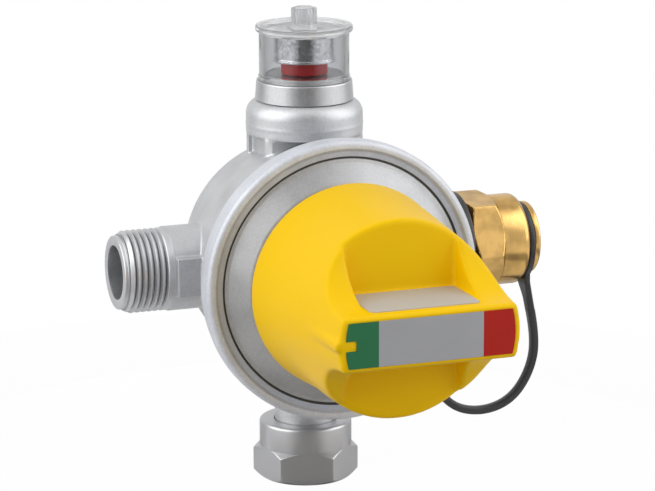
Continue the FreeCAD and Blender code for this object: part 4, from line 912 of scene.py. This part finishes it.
# Blanking cap
# Turned brass, screwed on the second port: hexagon, round body, groove for the tether's ring and a button
# end. The inlets' seats are of the same brass.
cap_face_x, cap_end_x = reach("blanking_cap", "X")
cap_turn = math.radians(36)
cap_hexagon_x = 48.7
cap_body_r = 11.3
cap_body_x = 55.8
cap_groove_r = 6.4
cap_button_r = 9.0
cap_mouth_r = 10.9
cap_button_x = 57.7
cap_bore_r = 10.08
cap_floor_x = 50.0


def cap_rows(around=240):
    """Rows from the button's middle along the outside to the open face, and back inside to the floor."""
    angle = once_round(around)
    rows = rounded([(0, cap_end_x), (cap_button_r, cap_end_x, 0.55), (cap_button_r, cap_button_x, 0.25),
                    (cap_groove_r, cap_button_x, 0.2), (cap_groove_r, cap_body_x, 0.2),
                    (cap_body_r, cap_body_x, 1.7), (cap_body_r, cap_hexagon_x + 0.02)])
    flats = hexagon(angle - cap_turn, hexagon_half)
    rows += hexagon_rows(flats, cap_hexagon_x, cap_face_x, cap_body_r)
    rows += rounded([(cap_mouth_r, cap_face_x), (cap_bore_r, cap_face_x, 0.25),
                     (cap_bore_r, cap_floor_x, 0.2), (0, cap_floor_x)])
    return about("X", rows, angle)


brass = lathed("brass_turned", (0.80, 0.50, 0.17), roughness=0.2, axis=(1, 0, 0), spread=0.3,
               depth=0.000004, count=5200.0, stain=0.3)
cap = closed(grid("cap", row(cap_rows())), sharp=30)
piece("cap", cap, brass, "brass_turned", "inlet_cap", "blanking_cap")
dress(brass, "inlet_seat_left", "inlet_seat_right")

# Tether rings
# The strap's two moulded ends: one ring turns in the cap's groove, the other sits on the root of the second
# port, and each has a tapered tab that runs into the strap.


def with_tab(mesh, start, end, half_width, half_thickness):
    """Adds a flat tapered tab to a mesh, closed at both ends.

    point = start + t * (end - start) + y * w(t) * across(a) + n * d(t) * through(a), with flat_oval's two
    parts, w and d running from start to end, and n square to the tab and to Y.
    """
    start, end = row(start), row(end)
    normal = np.cross((end - start) / np.linalg.norm(end - start), [0, 1, 0])
    t = np.linspace(0, 1, 12)[:, None]
    line = start + t * (end - start)
    w, d = ((size[0] + (size[1] - size[0]) * t)[:, None] / 1000 for size in (half_width, half_thickness))
    across, through = flat_oval()
    rows = line[:, None] + w * across[:, None] * np.array([0, 1, 0]) + d * through[:, None] * normal
    tab = closed(grid("tab", capped(line, rows)), sharp=50)
    work = bmesh.new()
    work.from_mesh(mesh)
    work.from_mesh(tab)
    work.to_mesh(mesh)
    work.free()
    return mesh


cap_ring = with_tab(copy_of("tether_cap_ring"), (56.75, -4.0, -8.9), (58.62, -4.0, -18.3),
                    half_width=(2.5, 1.35), half_thickness=(0.8, 1.05))
cap_tether = softened("cap_tether", cap_ring, voxel=0.0002, rounds=4)
piece("cap_tether", cap_tether, rubber, "black_rubber", "cap_ring", "tether_cap_ring")
body_ring = with_tab(copy_of("tether_body_ring"), (38.8, -4.0, -11.4), (36.58, -4.0, -18.7),
                     half_width=(2.5, 1.35), half_thickness=(1.1, 1.05))
body_tether = softened("body_tether", body_ring, voxel=0.0002, rounds=4)
piece("body_tether", body_tether, rubber, "black_rubber", "housing", "tether_body_ring")

# Inside
# What shows only through openings or when it is taken apart: rubber seals, zinc-plated plates and levers,
# and springs wound from steel wire.
spring_turns = 4.5
setting_wire = 0.0018
indicator_wire = 0.00075


def coil(name, node, axis, wire, part=(0.0, 1.0)):
    """Part of a coil spring about Y or Z that fills a CAD node's box.

    The wire's line is r * (cos(a), sin(a)) with a = 2 pi * turns * t, from end to end of the box as t goes
    from 0 to 1, and part is the range of t. point = line + wire / 2 * (cos(b) * outward + sin(b) * across),
    with across square to the line and to outward.
    """
    low, high = (np.array(corner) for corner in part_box(node))
    up = np.array([0.0, axis == "Y", axis == "Z"])
    side = np.array([1.0, 0, 0])
    other = np.cross(up, side)
    middle_r = high[0] - wire / 2
    rise = (high - low) @ up - wire
    t = np.linspace(*part, 90)[:, None]
    angle = 2 * math.pi * spring_turns * t
    outward = np.cos(angle) * side + np.sin(angle) * other
    line = port_axes * (1 - up) + low * up + middle_r * outward + (wire / 2 + rise * t) * up
    round_it = np.cos(angle) * other - np.sin(angle) * side
    along = 2 * math.pi * spring_turns * middle_r * round_it + rise * up
    across = np.cross(along / np.linalg.norm(along, axis=1, keepdims=True), outward)
    turn = once_round(16)[:, None]
    rows = line[:, None] + wire / 2 * (np.cos(turn) * outward[:, None] + np.sin(turn) * across[:, None])
    made = closed(grid(name, capped(line, rows)), sharp=50)
    return piece(name, made, spring_steel, "spring_steel", None, node)


dress(rubber, "cap_seal", "outlet_seal", "diaphragm", "piston_seal", "valve_pad_left", "valve_pad_right")
spring_steel = lathed("spring_steel", (0.45, 0.45, 0.46), roughness=0.32, axis=(0, 1, 0))
dress(spring_steel, "inlet_filter_left", "inlet_filter_right")
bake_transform(coil("setting_coil_front", "setting_spring", "Y", setting_wire, (0.0, 0.5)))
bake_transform(coil("setting_coil_back", "setting_spring", "Y", setting_wire, (0.5, 1.0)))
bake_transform(coil("indicator_coil", "indicator_spring", "Z", indicator_wire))
dress(grained("plate_zinc", (0.52, 0.53, 0.54), metallic=0.9, roughness=0.38, size=1500.0, spread=0.12),
      "spring_plate", "selector_spindle", "diaphragm_plate", "diaphragm_stem", "valve_lever_left",
      "valve_lever_right")
